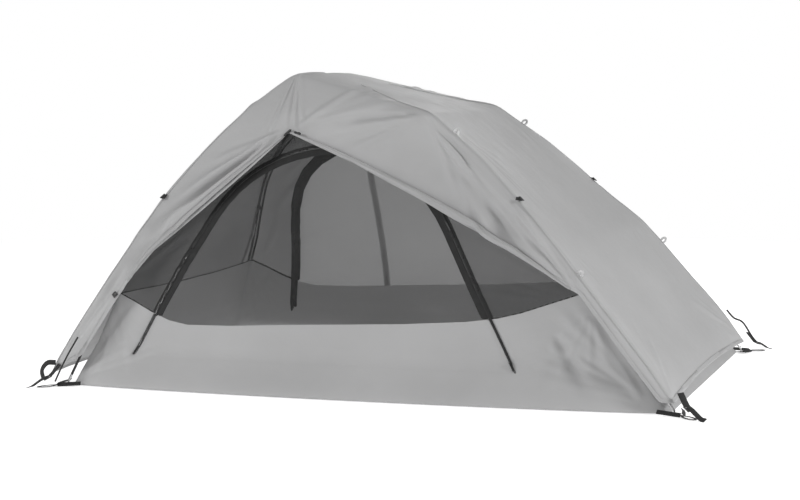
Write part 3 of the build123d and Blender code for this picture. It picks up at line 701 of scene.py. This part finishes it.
def fly_front_folds(x, z):
    """Creases of the fly's front panel, as height outward."""
    elbow = (0.165, 0.956)
    total = fold(x, z, (0.130, 0.962), (-0.150, 0.936), 0.009, -0.007)
    total += fan(x, z, elbow, 188, 204, 3, 0.55, 0.014, 0.005, 3)
    for end, width, height in (((0.56, 0.60), 0.020, -0.012), ((0.44, 0.62), 0.014, 0.012),
                               ((0.54, 0.50), 0.018, -0.010), ((0.36, 0.60), 0.016, 0.008),
                               ((0.66, 0.50), 0.014, 0.012), ((0.42, 0.50), 0.018, -0.008)):
        total += fold(x, z, elbow, end, width, height, 1.3, 0.8)
    total += fold(x, z, (0.30, 0.78), (0.60, 0.46), 0.040, -0.006, 0.6)
    total += fan(x, z, (APEX[0] + 0.02, APEX[1] + 0.02), 10, 34, 4, 0.50, 0.014, 0.006, 5)
    for end, width, height in (((-0.84, 0.50), 0.015, 0.012), ((-0.80, 0.58), 0.016, -0.012),
                               ((-0.76, 0.66), 0.016, 0.010), ((-0.66, 0.78), 0.012, 0.006)):
        total += fold(x, z, (APEX[0] - 0.04, APEX[1] + 0.004), end, width, height, 1.2, 0.75)
    total += fan(x, z, (PEAK[0], PEAK[2] + 0.03), 244, 292, 7, 0.26, 0.010, 0.003, 7)
    total += fan(x, z, RIGHT_CORNER, 128, 150, 3, 0.40, 0.014, 0.006, 8)
    total += fan(x, z, LEFT_CORNER, 50, 66, 3, 0.40, 0.014, 0.006, 9)
    total += fan(x, z, (1.080, 0.03), 118, 138, 4, 0.35, 0.012, 0.004, 10)
    total += fold(x, z, (-1.10, 0.10), (-0.90, 0.42), 0.022, -0.012)
    total += fan(x, z, (-1.110, 0.05), 58, 74, 3, 0.42, 0.013, 0.005, 11)
    return total * FOLD_DEPTH


def end_folds(y, z, seed):
    """Creases of an end panel, symmetric in kind but not in detail."""
    total = np.zeros_like(y)
    for sign in (-1, 1):
        side = y * sign
        total += fan(side, z, (0.79, 0.05), 98, 168, 11, 0.45, 0.014, 0.0040, seed + sign)
        total += fan(side, z, (0.60, 0.66), 200, 262, 5, 0.34, 0.018, 0.0022, seed + 5 + sign)
        total += fan(side, z, (0.49, 0.94), 210, 268, 5, 0.36, 0.018, 0.0022, seed + 9 + sign)
    return total


def shape_fly():
    skin = Skin(fly_gap, 0.030, FLY_TOP_GAP, 112, 56, 220, 140, 0.006, True)
    skin.grid = soften(skin.grid, 6)
    out = grid_normals(skin.grid)
    x, y, z = (skin.grid[..., i] for i in range(3))
    across, panel = skin.across[None], skin.panel[None]
    aside = np.minimum(across, 1 - across)
    edge = smooth(0.0, 0.03, aside) * (1 - smooth(0.60, 0.75, z) * (1 - smooth(0.02, 0.10, aside)))
    belly = np.sin(np.pi * across)**0.8 * smooth(0.02, 0.25, z) * smooth(1.05, 0.85, z)
    belly = belly * np.where(panel == 2, smooth(0.03, 0.30, abs(x - APEX[0])), 1)
    push = -np.choose(panel, (0.010, 0.016, 0.014, 0.018)) * belly
    push = push + np.where(panel == 0, fly_front_folds(x, z), 0) * edge
    push = push + np.where(panel == 2, fly_front_folds(x, z) * 0.5 * smooth(0.03, 0.2, abs(x - APEX[0])), 0) * edge
    push = push + np.where(panel == 1, end_folds(y, z, 21), 0) * edge
    push = push + np.where(panel == 3, end_folds(y, z, 41), 0) * edge
    push = push + 0.0022 * noise(skin.grid, 0.16, 1) + 0.0009 * noise(skin.grid, 0.05, 2)
    skin.grid = keep_clear(skin.grid + out * push[..., None])
    return skin


def keep_clear(grid):
    """Lifts the cloth wherever it would touch a pole that runs under it."""
    normals = grid_normals(grid)
    lift = np.zeros(grid.shape[:2])
    for pole in (RIGHT_POLE, LEFT_POLE):
        for way in (-1, 1):
            for spot in smooth_path(np.array(pole) * (1, way, 1), 12):
                near = np.abs(grid - spot).max(-1) < 0.09
                apart = spot - grid[near]
                height = (apart * normals[near]).sum(-1)
                aside = np.sqrt(np.maximum((apart**2).sum(-1) - height**2, 0))
                wanted = (height + POLE_CLEAR) * smooth(0.085, 0.034, aside)
                lift[near] = np.maximum(lift[near], wanted)
    for _ in range(12):
        padded = np.pad(lift, ((1, 1), (0, 0)), mode="edge")
        lift = (lift * 2 + padded[:-2] + padded[2:] + np.roll(lift, 1, 1) + np.roll(lift, -1, 1)) / 6
    return grid + normals * lift[..., None] * 1.2


def fly_edges(skin):
    """Distances from the opening and from the bottom hem of the fly."""
    x, y, z = (skin.grid[..., i] for i in range(3))
    apart = np.minimum(outside(skin.grid, FLY_OPENING), outside(skin.grid, FLY_HEM_NOTCH))
    opening = np.where(y < -0.1, apart, 1.0)
    reach = np.where(np.isin(skin.panel, (1, 3))[None], y / 0.8, x / 1.1)
    hem = z - FLY_HEM - FLY_HEM_RISE * (1 - np.clip(np.abs(reach), 0, 1)**2)
    return opening, hem


def build_fly():
    skin = shape_fly()
    opening, hem = fly_edges(skin)
    fly = mesh_object("fly_canopy_cloth", *skin.cut(opening, hem), FLY)
    close_roof(fly)
    finish_piece(fly, "fly", "fly_fabric", "fly_canopy")
    edge = np.minimum(opening, hem)
    binding = mesh_object("fly_hem_binding", *skin.cut(edge + 0.001, SEAM_TAPE - edge, offset=0.0009), FLY)
    thicken(binding, 0.0010, 1.0)
    finish_piece(binding, "fly", "fly_fabric")
    seams = mesh_object(
        "fly_ridge_seams",
        *skin.cut(0.006 - skin.to_corner(), edge, 1.055 - skin.grid[..., 2], offset=0.0007), FLY)
    thicken(seams, 0.0009, 1.0)
    finish_piece(seams, "fly", "fly_fabric")
    apart = abs(skin.grid[..., 0] - APEX[0])
    rear = np.where(skin.grid[..., 1] > 0.1, 1.0, -1.0)
    height = skin.grid[..., 2]
    zip_tape = mesh_object(
        "fly_zip_tape", *skin.cut(0.013 - apart, rear, edge, 0.890 - height, offset=0.0012), FLY)
    finish_piece(zip_tape, "fly", "fly_fabric")
    zip_coil = mesh_object(
        "fly_zip_coil_teeth", *skin.cut(0.0035 - apart, rear, edge - 0.01, 0.880 - height, offset=0.0022), COIL)
    thicken(zip_coil, 0.0015, 1.0)
    finish_piece(zip_coil, "fly", "zip_coil", "fly_zip_coil")
    return skin


# ------------------------------------------------------------------ inner tent
def tub_folds(x, z):
    """Soft hollows and creases of the tub's long walls."""
    total = fold(x, z, (0.93, 0.06), (0.55, 0.16), 0.020, 0.006)
    total += fold(x, z, (0.66, 0.24), (0.80, 0.03), 0.030, -0.010)
    total += fan(x, z, (0.98, 0.04), 128, 172, 6, 0.40, 0.016, 0.005, 61)
    total += fan(x, z, (0.78, 0.31), 215, 300, 5, 0.26, 0.018, 0.005, 62)
    total += fan(x, z, (-0.95, 0.30), 260, 330, 5, 0.26, 0.018, 0.005, 63)
    total += fan(x, z, (-1.03, 0.04), 12, 60, 5, 0.36, 0.016, 0.004, 64)
    return total


def mesh_folds(x, z):
    """Wrinkles of the mesh walls, pulled from the corners of the seam."""
    total = fan(x, z, (0.80, 0.33), 128, 176, 8, 0.55, 0.013, 0.006, 71)
    total += fan(x, z, (-0.95, 0.33), 4, 52, 8, 0.50, 0.013, 0.006, 72)
    return total


def shape_inner():
    skin = Skin(inner_gap, 0.004, -INNER_GAP, 130, 44, 230, 130, 0.008, False)
    skin.grid = soften(skin.grid, 3)
    out = grid_normals(skin.grid)
    x, y, z = (skin.grid[..., i] for i in range(3))
    across, panel = skin.across[None], skin.panel[None]
    long_wall = np.isin(panel, (0, 2))
    edge = smooth(0.0, 0.02, np.minimum(across, 1 - across))
    seam = above_seam(skin.grid)
    belly = np.sin(np.pi * across)**0.8 * smooth(0.02, 0.2, z) * smooth(1.0, 0.8, z)
    push = -np.where(long_wall, 0.006, 0.018) * belly
    push = push + np.where(long_wall & (seam < 0), tub_folds(x, z) * smooth(0, -0.03, seam), 0) * edge
    push = push + np.where(long_wall & (seam > 0), mesh_folds(x, z) * smooth(0, 0.03, seam), 0) * edge
    push = push + 0.0025 * noise(skin.grid, 0.13, 51) * smooth(0.0, 0.05, z)
    skin.grid = skin.grid + out * push[..., None]
    flare = TUB_FLARE * np.sin(np.pi * across)**0.5 * smooth(0.16, 0.0, z)**1.5
    skin.grid[..., 1] += np.where(long_wall, flare * np.sign(y), 0)
    return skin


def door_edges(skin):
    """Distances outside the front and rear door outlines."""
    y = skin.grid[..., 1]
    front = np.where(y < -0.1, outside(skin.grid, door_outline(FRONT_DOOR, FRONT_ARCH_PULL)), 1.0)
    rear = np.where(y > 0.1, outside(skin.grid, door_outline(REAR_DOOR, REAR_ARCH_PULL)), 1.0)
    return front, rear


def floor_sheet(skin):
    """Flat floor that joins the two long bottom edges of the tub."""
    ring = skin.grid[0]
    front = ring[skin.starts[0]:skin.starts[1] + 1]
    back = ring[skin.starts[2]:skin.starts[3] + 1][::-1]
    t = np.linspace(0, 1, 61)[:, None, None]
    grid = front[None] * (1 - t) + back[None] * t
    grid[..., 2] += 0.0012 * (noise(grid, 0.12, 91) + 1) * np.sin(np.pi * t[..., 0])
    points = grid.reshape(-1, 3)
    return points, grid_faces(61, len(front))


def build_inner():
    skin = shape_inner()
    front, rear = door_edges(skin)
    doors = np.minimum(front, rear)
    seam = above_seam(skin.grid)
    z = skin.grid[..., 2]

    gap = np.where(z < DOOR_SILL + 0.012, -0.002, DOOR_GAP)
    points, faces = skin.cut(-seam, doors - gap)
    floor_points, floor_faces = floor_sheet(skin)
    faces = faces + (floor_faces + len(points)).tolist()
    tub = mesh_object("floor_tub_cloth", np.vstack([points, floor_points]), faces, TUB)
    bm = bmesh.new()
    bm.from_mesh(tub.data)
    bmesh.ops.remove_doubles(bm, verts=[v for v in bm.verts if v.co.z < 0.01], dist=0.0005)
    bmesh.ops.recalc_face_normals(bm, faces=bm.faces)
    bm.to_mesh(tub.data)
    bm.free()
    finish_piece(tub, "inner_tent", "tub_fabric", "floor_tub")

    canopy = mesh_object("mesh_canopy_cloth", *skin.cut(seam, doors - DOOR_GAP), SIDE_MESH)
    close_roof(canopy)
    finish_piece(canopy, "inner_tent", "canopy_mesh", "mesh_canopy")

    above_sill = z - DOOR_SILL
    for side, edge in (("front", front), ("rear", rear)):
        # Door panel in the lighter mesh copy: painted light.
        door = mesh_object(side + "_door_mesh", *skin.cut(-edge, seam), MESH)
        finish_piece(door, side + "_door", "canopy_mesh", side + "_door")
        skirt = mesh_object(side + "_door_skirt", *skin.cut(-edge - 0.003 * smooth(0.0, 0.006, above_sill), -seam,
                                                           offset=0.0006), TUB)
        finish_piece(skirt, side + "_door", "tub_fabric")
        inner_band = mesh_object(
            side + "_door_zip_flap", *skin.cut(-edge, edge + 0.024, seam - 0.002, offset=0.0014), TAPE)
        thicken(inner_band, 0.0010, 1.0)
        finish_piece(inner_band, side + "_door", "zip_tape")
        band = mesh_object(
            side + "_zip_band_tape", *skin.cut(edge - 0.003, 0.015 - edge, seam - 0.002, offset=0.0016), TAPE)
        thicken(band, 0.0011, 1.0)
        finish_piece(band, "inner_tent", "zip_tape", side + "_zip_band")
        coil = mesh_object(
            side + "_zip_coil_teeth", *skin.cut(edge + 0.0015, 0.0075 - edge, above_sill - 0.006, offset=0.0018), COIL)
        thicken(coil, 0.0022, 1.0)
        finish_piece(coil, "inner_tent", "zip_coil", side + "_zip_coil")
        shown = 0.12 - skin.grid[..., 0]
        stitched = mesh_object(
            side + "_zip_inside_tape", *skin.cut(edge - 0.002, 0.013 - edge, above_sill, shown, offset=-0.0014), TAPE)
        finish_piece(stitched, "inner_tent", "zip_tape")
        facing_tape = mesh_object(
            side + "_door_inside_tape", *skin.cut(edge + 0.016, -0.001 - edge, above_sill - 0.018, shown, offset=-0.0014), TAPE)
        finish_piece(facing_tape, side + "_door", "zip_tape")

    tape = mesh_object("tub_seam_tape", *skin.cut(0.004 - abs(seam), doors - DOOR_GAP, offset=-0.0012), TAPE)
    finish_piece(tape, "inner_tent", "zip_tape")
    ridges = mesh_object(
        "inner_ridge_tapes",
        *skin.cut(0.005 - skin.to_corner(), seam, 1.02 - z, offset=0.0010), TAPE)
    thicken(ridges, 0.0007, 1.0)
    finish_piece(ridges, "inner_tent", "zip_tape")
    return skin


# ------------------------------------------------------------------ rolled flaps
def surface_at(skin, x, z, panel=0):
    """Point and outward normal of a skin's panel nearest to a place in front view."""
    own = np.where(skin.panel == panel)[0]
    grid = skin.grid[:, own]
    out = grid_normals(skin.grid)[:, own]
    apart = (grid[..., 0] - x)**2 + (grid[..., 2] - z)**2
    flat = np.argsort(apart.ravel())[:6]
    weight = 1 / (apart.ravel()[flat] + 1e-6)
    weight /= weight.sum()
    return weight @ grid.reshape(-1, 3)[flat], weight @ out.reshape(-1, 3)[flat]


def flap_roll(skin, name, node, outline, widths, seed):
    """Flap rolled back along one edge of the opening: a flat, crinkled roll of thin cloth."""
    route = smooth_path([(x, 0, z) for x, z in outline], 30)
    spots = [surface_at(skin, p[0], p[2]) for p in route]
    path = np.array([s[0] for s in spots])
    path[:, 0], path[:, 2] = route[:, 0], route[:, 2]
    out = np.array([s[1] for s in spots])
    along = np.gradient(path, axis=0)
    along /= np.linalg.norm(along, axis=1, keepdims=True)
    out -= along * (out * along).sum(1, keepdims=True)
    out /= np.linalg.norm(out, axis=1, keepdims=True)
    up = np.cross(along, out)
    up *= np.sign(up[:, 2:3])
    share = np.linspace(0, 1, len(path))
    width = np.interp(share, np.linspace(0, 1, len(widths)), widths)
    turns = np.linspace(0, 2 * math.pi, 36, endpoint=False)
    grid = np.zeros((len(path), len(turns), 3))
    for column, turn in enumerate(turns):
        probe = np.stack([share * 14, np.full_like(share, math.cos(turn) * 1.2), np.full_like(share, math.sin(turn) * 1.2)], -1)
        ripple = 1 + 0.16 * noise(probe, 1.0, seed) + 0.07 * noise(probe * 3.1, 1.0, seed + 1)
        groove = 1 - 0.20 * np.exp(-((turn - 1.1 - 0.25 * np.sin(share * 9)) / 0.16)**2)
        groove = groove - 0.14 * np.exp(-((turn - 0.45 + 0.2 * np.sin(share * 7 + 1)) / 0.12)**2)
        side = math.cos(turn) * width * 0.5 * ripple
        lift = (math.sin(turn) * 0.42 + 0.30) * width * ripple * groove
        grid[:, column] = path + up * (side + width * 0.40)[:, None] + out * (lift + 0.002)[:, None]
    faces = [list(f) for f in grid_faces(len(path), len(turns), True)]
    faces.append(list(range(len(turns)))[::-1])
    faces.append([(len(path) - 1) * len(turns) + i for i in range(len(turns))])
    roll = mesh_object(name, grid.reshape(-1, 3), faces, FLAP)
    bm = bmesh.new()
    bm.from_mesh(roll.data)
    bmesh.ops.recalc_face_normals(bm, faces=bm.faces)
    bm.to_mesh(roll.data)
    bm.free()
    return finish_piece(roll, "fly", "fly_fabric", node)


fly_skin = build_fly()
inner_skin = build_inner()
flap_roll(fly_skin, "left_flap_cloth_roll", "left_flap_roll",
          [APEX, (-0.60, 0.690), (-0.803, 0.478), (-0.875, 0.370)], (0.008, 0.013, 0.017, 0.014, 0.006), 5)
flap_roll(fly_skin, "right_flap_cloth_roll", "right_flap_roll",
          [APEX, *RIGHT_EDGE, (0.715, 0.391)], (0.010, 0.017, 0.022, 0.028, 0.022, 0.007), 8)


# ------------------------------------------------------------------ straps, cords and toggles
CORNERS = {"front_left": (-1, -1), "front_right": (1, -1), "rear_right": (1, 1), "rear_left": (-1, 1)}
LOOP_HEIGHTS = [0.893, 0.440]
WRAP_HEIGHTS = {-1: 0.650, 1: 0.683}


def near_corner(side, out, across, z):
    """Place near a floor corner: out along its diagonal, across it, and a height."""
    way = np.array(side) / math.sqrt(2)
    spot = np.array([side[0] * HALF_LENGTH, side[1] * HALF_WIDTH]) + way * out + np.array([-way[1], way[0]]) * across
    return (spot[0], spot[1], z)


def build_corners():
    webbing, loops, straps = [], [], []
    for name, side in CORNERS.items():
        def at(*places):
            return [near_corner(side, *p) for p in places]
        facing = (side[0] * 0.6, side[1] * 0.8, 0.45)
        webbing.append(strap(at((0.002, 0, 0.0030), (0.022, 0, 0.0020), (0.044, 0, 0.0036), (0.060, 0, 0.0050)), 0.024))
        for way in (-1, 1):
            webbing.append(strap(
                at((-0.012, way * 0.052, 0.012), (0.022, way * 0.032, 0.010), (0.056, way * 0.006, 0.007)), 0.016, facing))
        loops.append(strap(
            at((0.058, 0.002, 0.0055), (0.084, 0.014, 0.0040), (0.112, 0.012, 0.0030), (0.126, 0, 0.0030),
               (0.112, -0.012, 0.0030), (0.084, -0.014, 0.0040), (0.058, -0.002, 0.0055)), 0.009))
        straps.append(strap(at((0.046, 0, 0.078), (0.062, 0, 0.060), (0.075, 0, 0.046), (0.084, 0, 0.038)), 0.024, facing))
        tail = strap(
            at((0.088, 0, 0.038), (0.108, 0.001, 0.031), (0.130, 0.003, 0.019), (0.150, 0.006, 0.008),
               (0.168, 0.010, 0.005)), 0.020, facing)
        swept_piece(name + "_tension_webbing", [tail], WEBBING, name + "_buckle", "webbing", name + "_tension_strap")
    swept_piece("corner_webbing_straps", webbing, WEBBING, "inner_tent", "webbing", "corner_webbing")
    swept_piece("stake_loop_cords", loops, WEBBING, "inner_tent", "webbing", "stake_loops")
    swept_piece("fly_corner_webbing", straps, WEBBING, "fly", "webbing", "fly_corner_straps")
    slack = [
        strap([(-1.112, -0.800, 0.084), (-1.142, -0.806, 0.082), (-1.160, -0.812, 0.056), (-1.148, -0.824, 0.024)],
              0.018, (-0.3, -1, 0.2)),
        strap([(-1.030, -0.790, 0.176), (-1.060, -0.806, 0.118), (-1.084, -0.822, 0.062), (-1.098, -0.836, 0.022)],
              0.007, (-0.3, -1, 0.3)),
    ]
    swept_piece("front_left_slack_webbing", slack, WEBBING, "fly", "webbing")
    cords = [cord([(1.018, 0.778, 0.165), (1.044, 0.790, 0.134), (1.078, 0.800, 0.116), (1.112, 0.812, 0.062)], 0.0035)]
    swept_piece("rear_right_hem_cord", cords, CORD, "fly", "cord")


def on_ridge(end, way, height):
    """Point, normal and both neighbours on a corner ridge of the fly at one height."""
    start = {(-1, -1): 0, (1, -1): 1, (1, 1): 2, (-1, 1): 3}[end, way]
    row = int(np.argmin(abs(fly_skin.grid[:fly_skin.wall_rows, 0, 2] - height)))
    column = fly_skin.starts[start]
    sides = [fly_skin.grid[row, (column + step) % fly_skin.grid.shape[1]] for step in (-3, 3)]
    return fly_skin.grid[row, column], fly_normals[row, column], sides


def build_fly_fittings():
    loops, wraps = [], []
    for height in LOOP_HEIGHTS:
        for way in (-1, 1):
            base, normal, _ = on_ridge(1, way, height)
            out = np.array([0.62, way * 0.36, 0.70])
            flat = np.cross(out, (0, way, 0))
            path = [base - flat * 0.006, base + out * 0.012 - flat * 0.008, base + out * 0.021,
                    base + out * 0.012 + flat * 0.008, base + flat * 0.006]
            loops.append(strap(path, 0.008, (0, way, 0)))
    swept_piece("guy_loop_tapes", loops, LIGHT_TAPE, "fly", "light_webbing", "guy_out_loops")
    for end, height in WRAP_HEIGHTS.items():
        for way in (-1, 1):
            corner, normal, (near, far) = on_ridge(end, way, height)
            path = [near + normal * 0.009, corner + normal * 0.008, far + normal * 0.009]
            wraps.append(strap(path, 0.020, normal, 0.0022))
    swept_piece("pole_wrap_bands", wraps, WEBBING, "fly", "webbing", "pole_wrap_tabs")
    clip_spot, clip_out = surface_at(fly_skin, -0.922, 0.320)
    slant = np.array([0.7, 0, 0.7]) * 0.009
    clip_path = [clip_spot + clip_out * 0.004 - slant, clip_spot + clip_out * 0.005, clip_spot + clip_out * 0.004 + slant]
    swept_piece("edge_clip_body", [strap(clip_path, 0.018, clip_out, 0.004)], PLASTIC, "fly", "moulded_plastic",
                "fly_edge_clip")


def build_toggles():
    for name, x, z, lean, half, proud in (("left", -0.374, 0.888, 40, 0.018, 0.015),
                                          ("right", -0.330, 0.888, -12, 0.014, 0.026)):
        spot, out = surface_at(fly_skin, x, z + 0.006)
        centre = np.array([x, spot[1] - proud, z])
        way = np.array([math.cos(math.radians(lean)), 0, math.sin(math.radians(lean))])
        share = np.linspace(-1, 1, 15)
        radius = 0.0046 * (1 - 0.30 * np.exp(-(share / 0.18)**2)) * np.sqrt(np.clip(1.03 - share**6, 0, 1))
        section = round_section(1.0, 14)[None] * radius[:, None, None]
        barrel = sweep(centre + way * share[:, None] * half, section, (0, -1, 0))
        swept_piece(name + "_toggle_barrel", [barrel], PLASTIC, name + "_flap_toggle", "moulded_plastic",
                    name + "_flap_toggle")
    spot, out = surface_at(fly_skin, -0.352, 0.892)
    tails = []
    for x, lean in ((-0.357, -0.004), (-0.349, 0.005)):
        tails.append(cord([(x, spot[1] - 0.008, 0.886), (x, spot[1] - 0.010, 0.870),
                           (x + lean, spot[1] - 0.010, 0.852)], 0.0018))
    swept_piece("apex_cord_tails", tails, CORD, "fly", "cord", "apex_cords")


def pull_of(name):
    """Cord loop that hangs from a zip slider, along the pull it stands for."""
    low, high = (np.array(p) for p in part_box(name))
    middle = (low + high) / 2
    reach = (high - low) / 2
    sign = {"front_zip_pull": (1, -1, -1), "rear_zip_pull": (1, 1, -1), "fly_zip_pull": (0, 1, -1)}[name]
    way = reach * np.array(sign)
    face = np.array([0, 1 if sign[1] > 0 else -1, 0.25])
    side = np.cross(way, face)
    side = side / np.linalg.norm(side)
    start, end = middle - way * 0.86, middle + way * 0.92
    path = [start + side * 0.0026, start * 0.5 + end * 0.5 + side * 0.0028, end + side * 0.001,
            end - side * 0.001, start * 0.5 + end * 0.5 - side * 0.0028, start - side * 0.0026]
    swept_piece(name + "_cord", [cord(path, 0.0011, tuple(face))], CORD, name, "cord", name)


fly_normals = grid_normals(fly_skin.grid)
build_corners()
build_fly_fittings()
build_toggles()
for pull in ("front_zip_pull", "rear_zip_pull", "fly_zip_pull"):
    pull_of(pull)


# ------------------------------------------------------------------ stage, light and camera
def build_stage():
    size = 60.0
    s = Shader("pale_floor")
    paint = s.principled(s.ramp(s.noise(0.6), grey(0.93), grey(0.95)), 0.9)
    glow = s.add("ShaderNodeEmission")
    glow.inputs["Strength"].default_value = 0.55
    both = s.add("ShaderNodeAddShader")
    s.link(paint, both.inputs[0])
    s.link(glow.outputs[0], both.inputs[1])
    far = s.add("ShaderNodeVectorMath", operation="LENGTH")
    s.link(s.position(), far.inputs[0])
    fade = s.add("ShaderNodeMapRange")
    fade.inputs["From Min"].default_value = 2.0
    fade.inputs["From Max"].default_value = 6.0
    s.link(far.outputs["Value"], fade.inputs["Value"])
    white = s.add("ShaderNodeEmission")
    surface = s.mix(fade.outputs["Result"], both.outputs[0], white.outputs[0])
    corners = [(-size, -size, 0), (size, -size, 0), (size, size, 0), (-size, size, 0)]
    floor = mesh_object("studio_floor", corners, [(0, 1, 2, 3)], s.finish(surface))
    world = bpy.data.worlds.new("studio_world")
    bpy.context.scene.world = world
    world.use_nodes = True
    tree = world.node_tree
    light = tree.nodes["Background"]
    light.inputs[0].default_value = (1, 1, 1, 1)
    light.inputs[1].default_value = 0.44
    seen = tree.nodes.new("ShaderNodeBackground")
    seen.inputs[1].default_value = 1.0
    path = tree.nodes.new("ShaderNodeLightPath")
    mix = tree.nodes.new("ShaderNodeMixShader")
    tree.links.new(path.outputs["Is Camera Ray"], mix.inputs[0])
    tree.links.new(light.outputs[0], mix.inputs[1])
    tree.links.new(seen.outputs[0], mix.inputs[2])
    tree.links.new(mix.outputs[0], tree.nodes["World Output"].inputs[0])
    seen.inputs[0].default_value = (1, 1, 1, 1)


def area_light(name, place, target, size, power):
    light = bpy.data.lights.new(name, "AREA")
    light.shape = "DISK"
    light.size = size
    light.energy = power
    obj = bpy.data.objects.new(name, light)
    obj.location = place
    obj.rotation_euler = (Vector(target) - Vector(place)).to_track_quat("-Z", "Y").to_euler()
    bpy.context.scene.collection.objects.link(obj)


CAMERA_PLACE = (2.2096, -7.4766, 1.1450)
CAMERA_YAW = math.radians(17.09)
CAMERA_PITCH = math.radians(5.15)
CAMERA_LENS = 94.8


def build_camera():
    camera = bpy.data.cameras.new("view_camera")
    camera.lens = CAMERA_LENS
    camera.sensor_width = 36.0
    camera.clip_end = 200.0
    obj = bpy.data.objects.new("view_camera", camera)
    obj.location = CAMERA_PLACE
    obj.rotation_euler = (math.pi / 2 - CAMERA_PITCH, 0, CAMERA_YAW)
    bpy.context.scene.collection.objects.link(obj)
    bpy.context.scene.camera = obj


build_stage()
area_light("key_light", (6.2, -1.2, 3.2), (0.2, 0, 0.5), 1.6, 228)
area_light("fill_light", (-5.0, -4.6, 3.4), (-0.3, 0, 0.5), 2.2, 180)
area_light("back_light", (-1.2, 6.0, 0.9), (-0.2, 0, 0.4), 3.0, 130)
build_camera()
bpy.context.scene.view_settings.view_transform = "Standard"
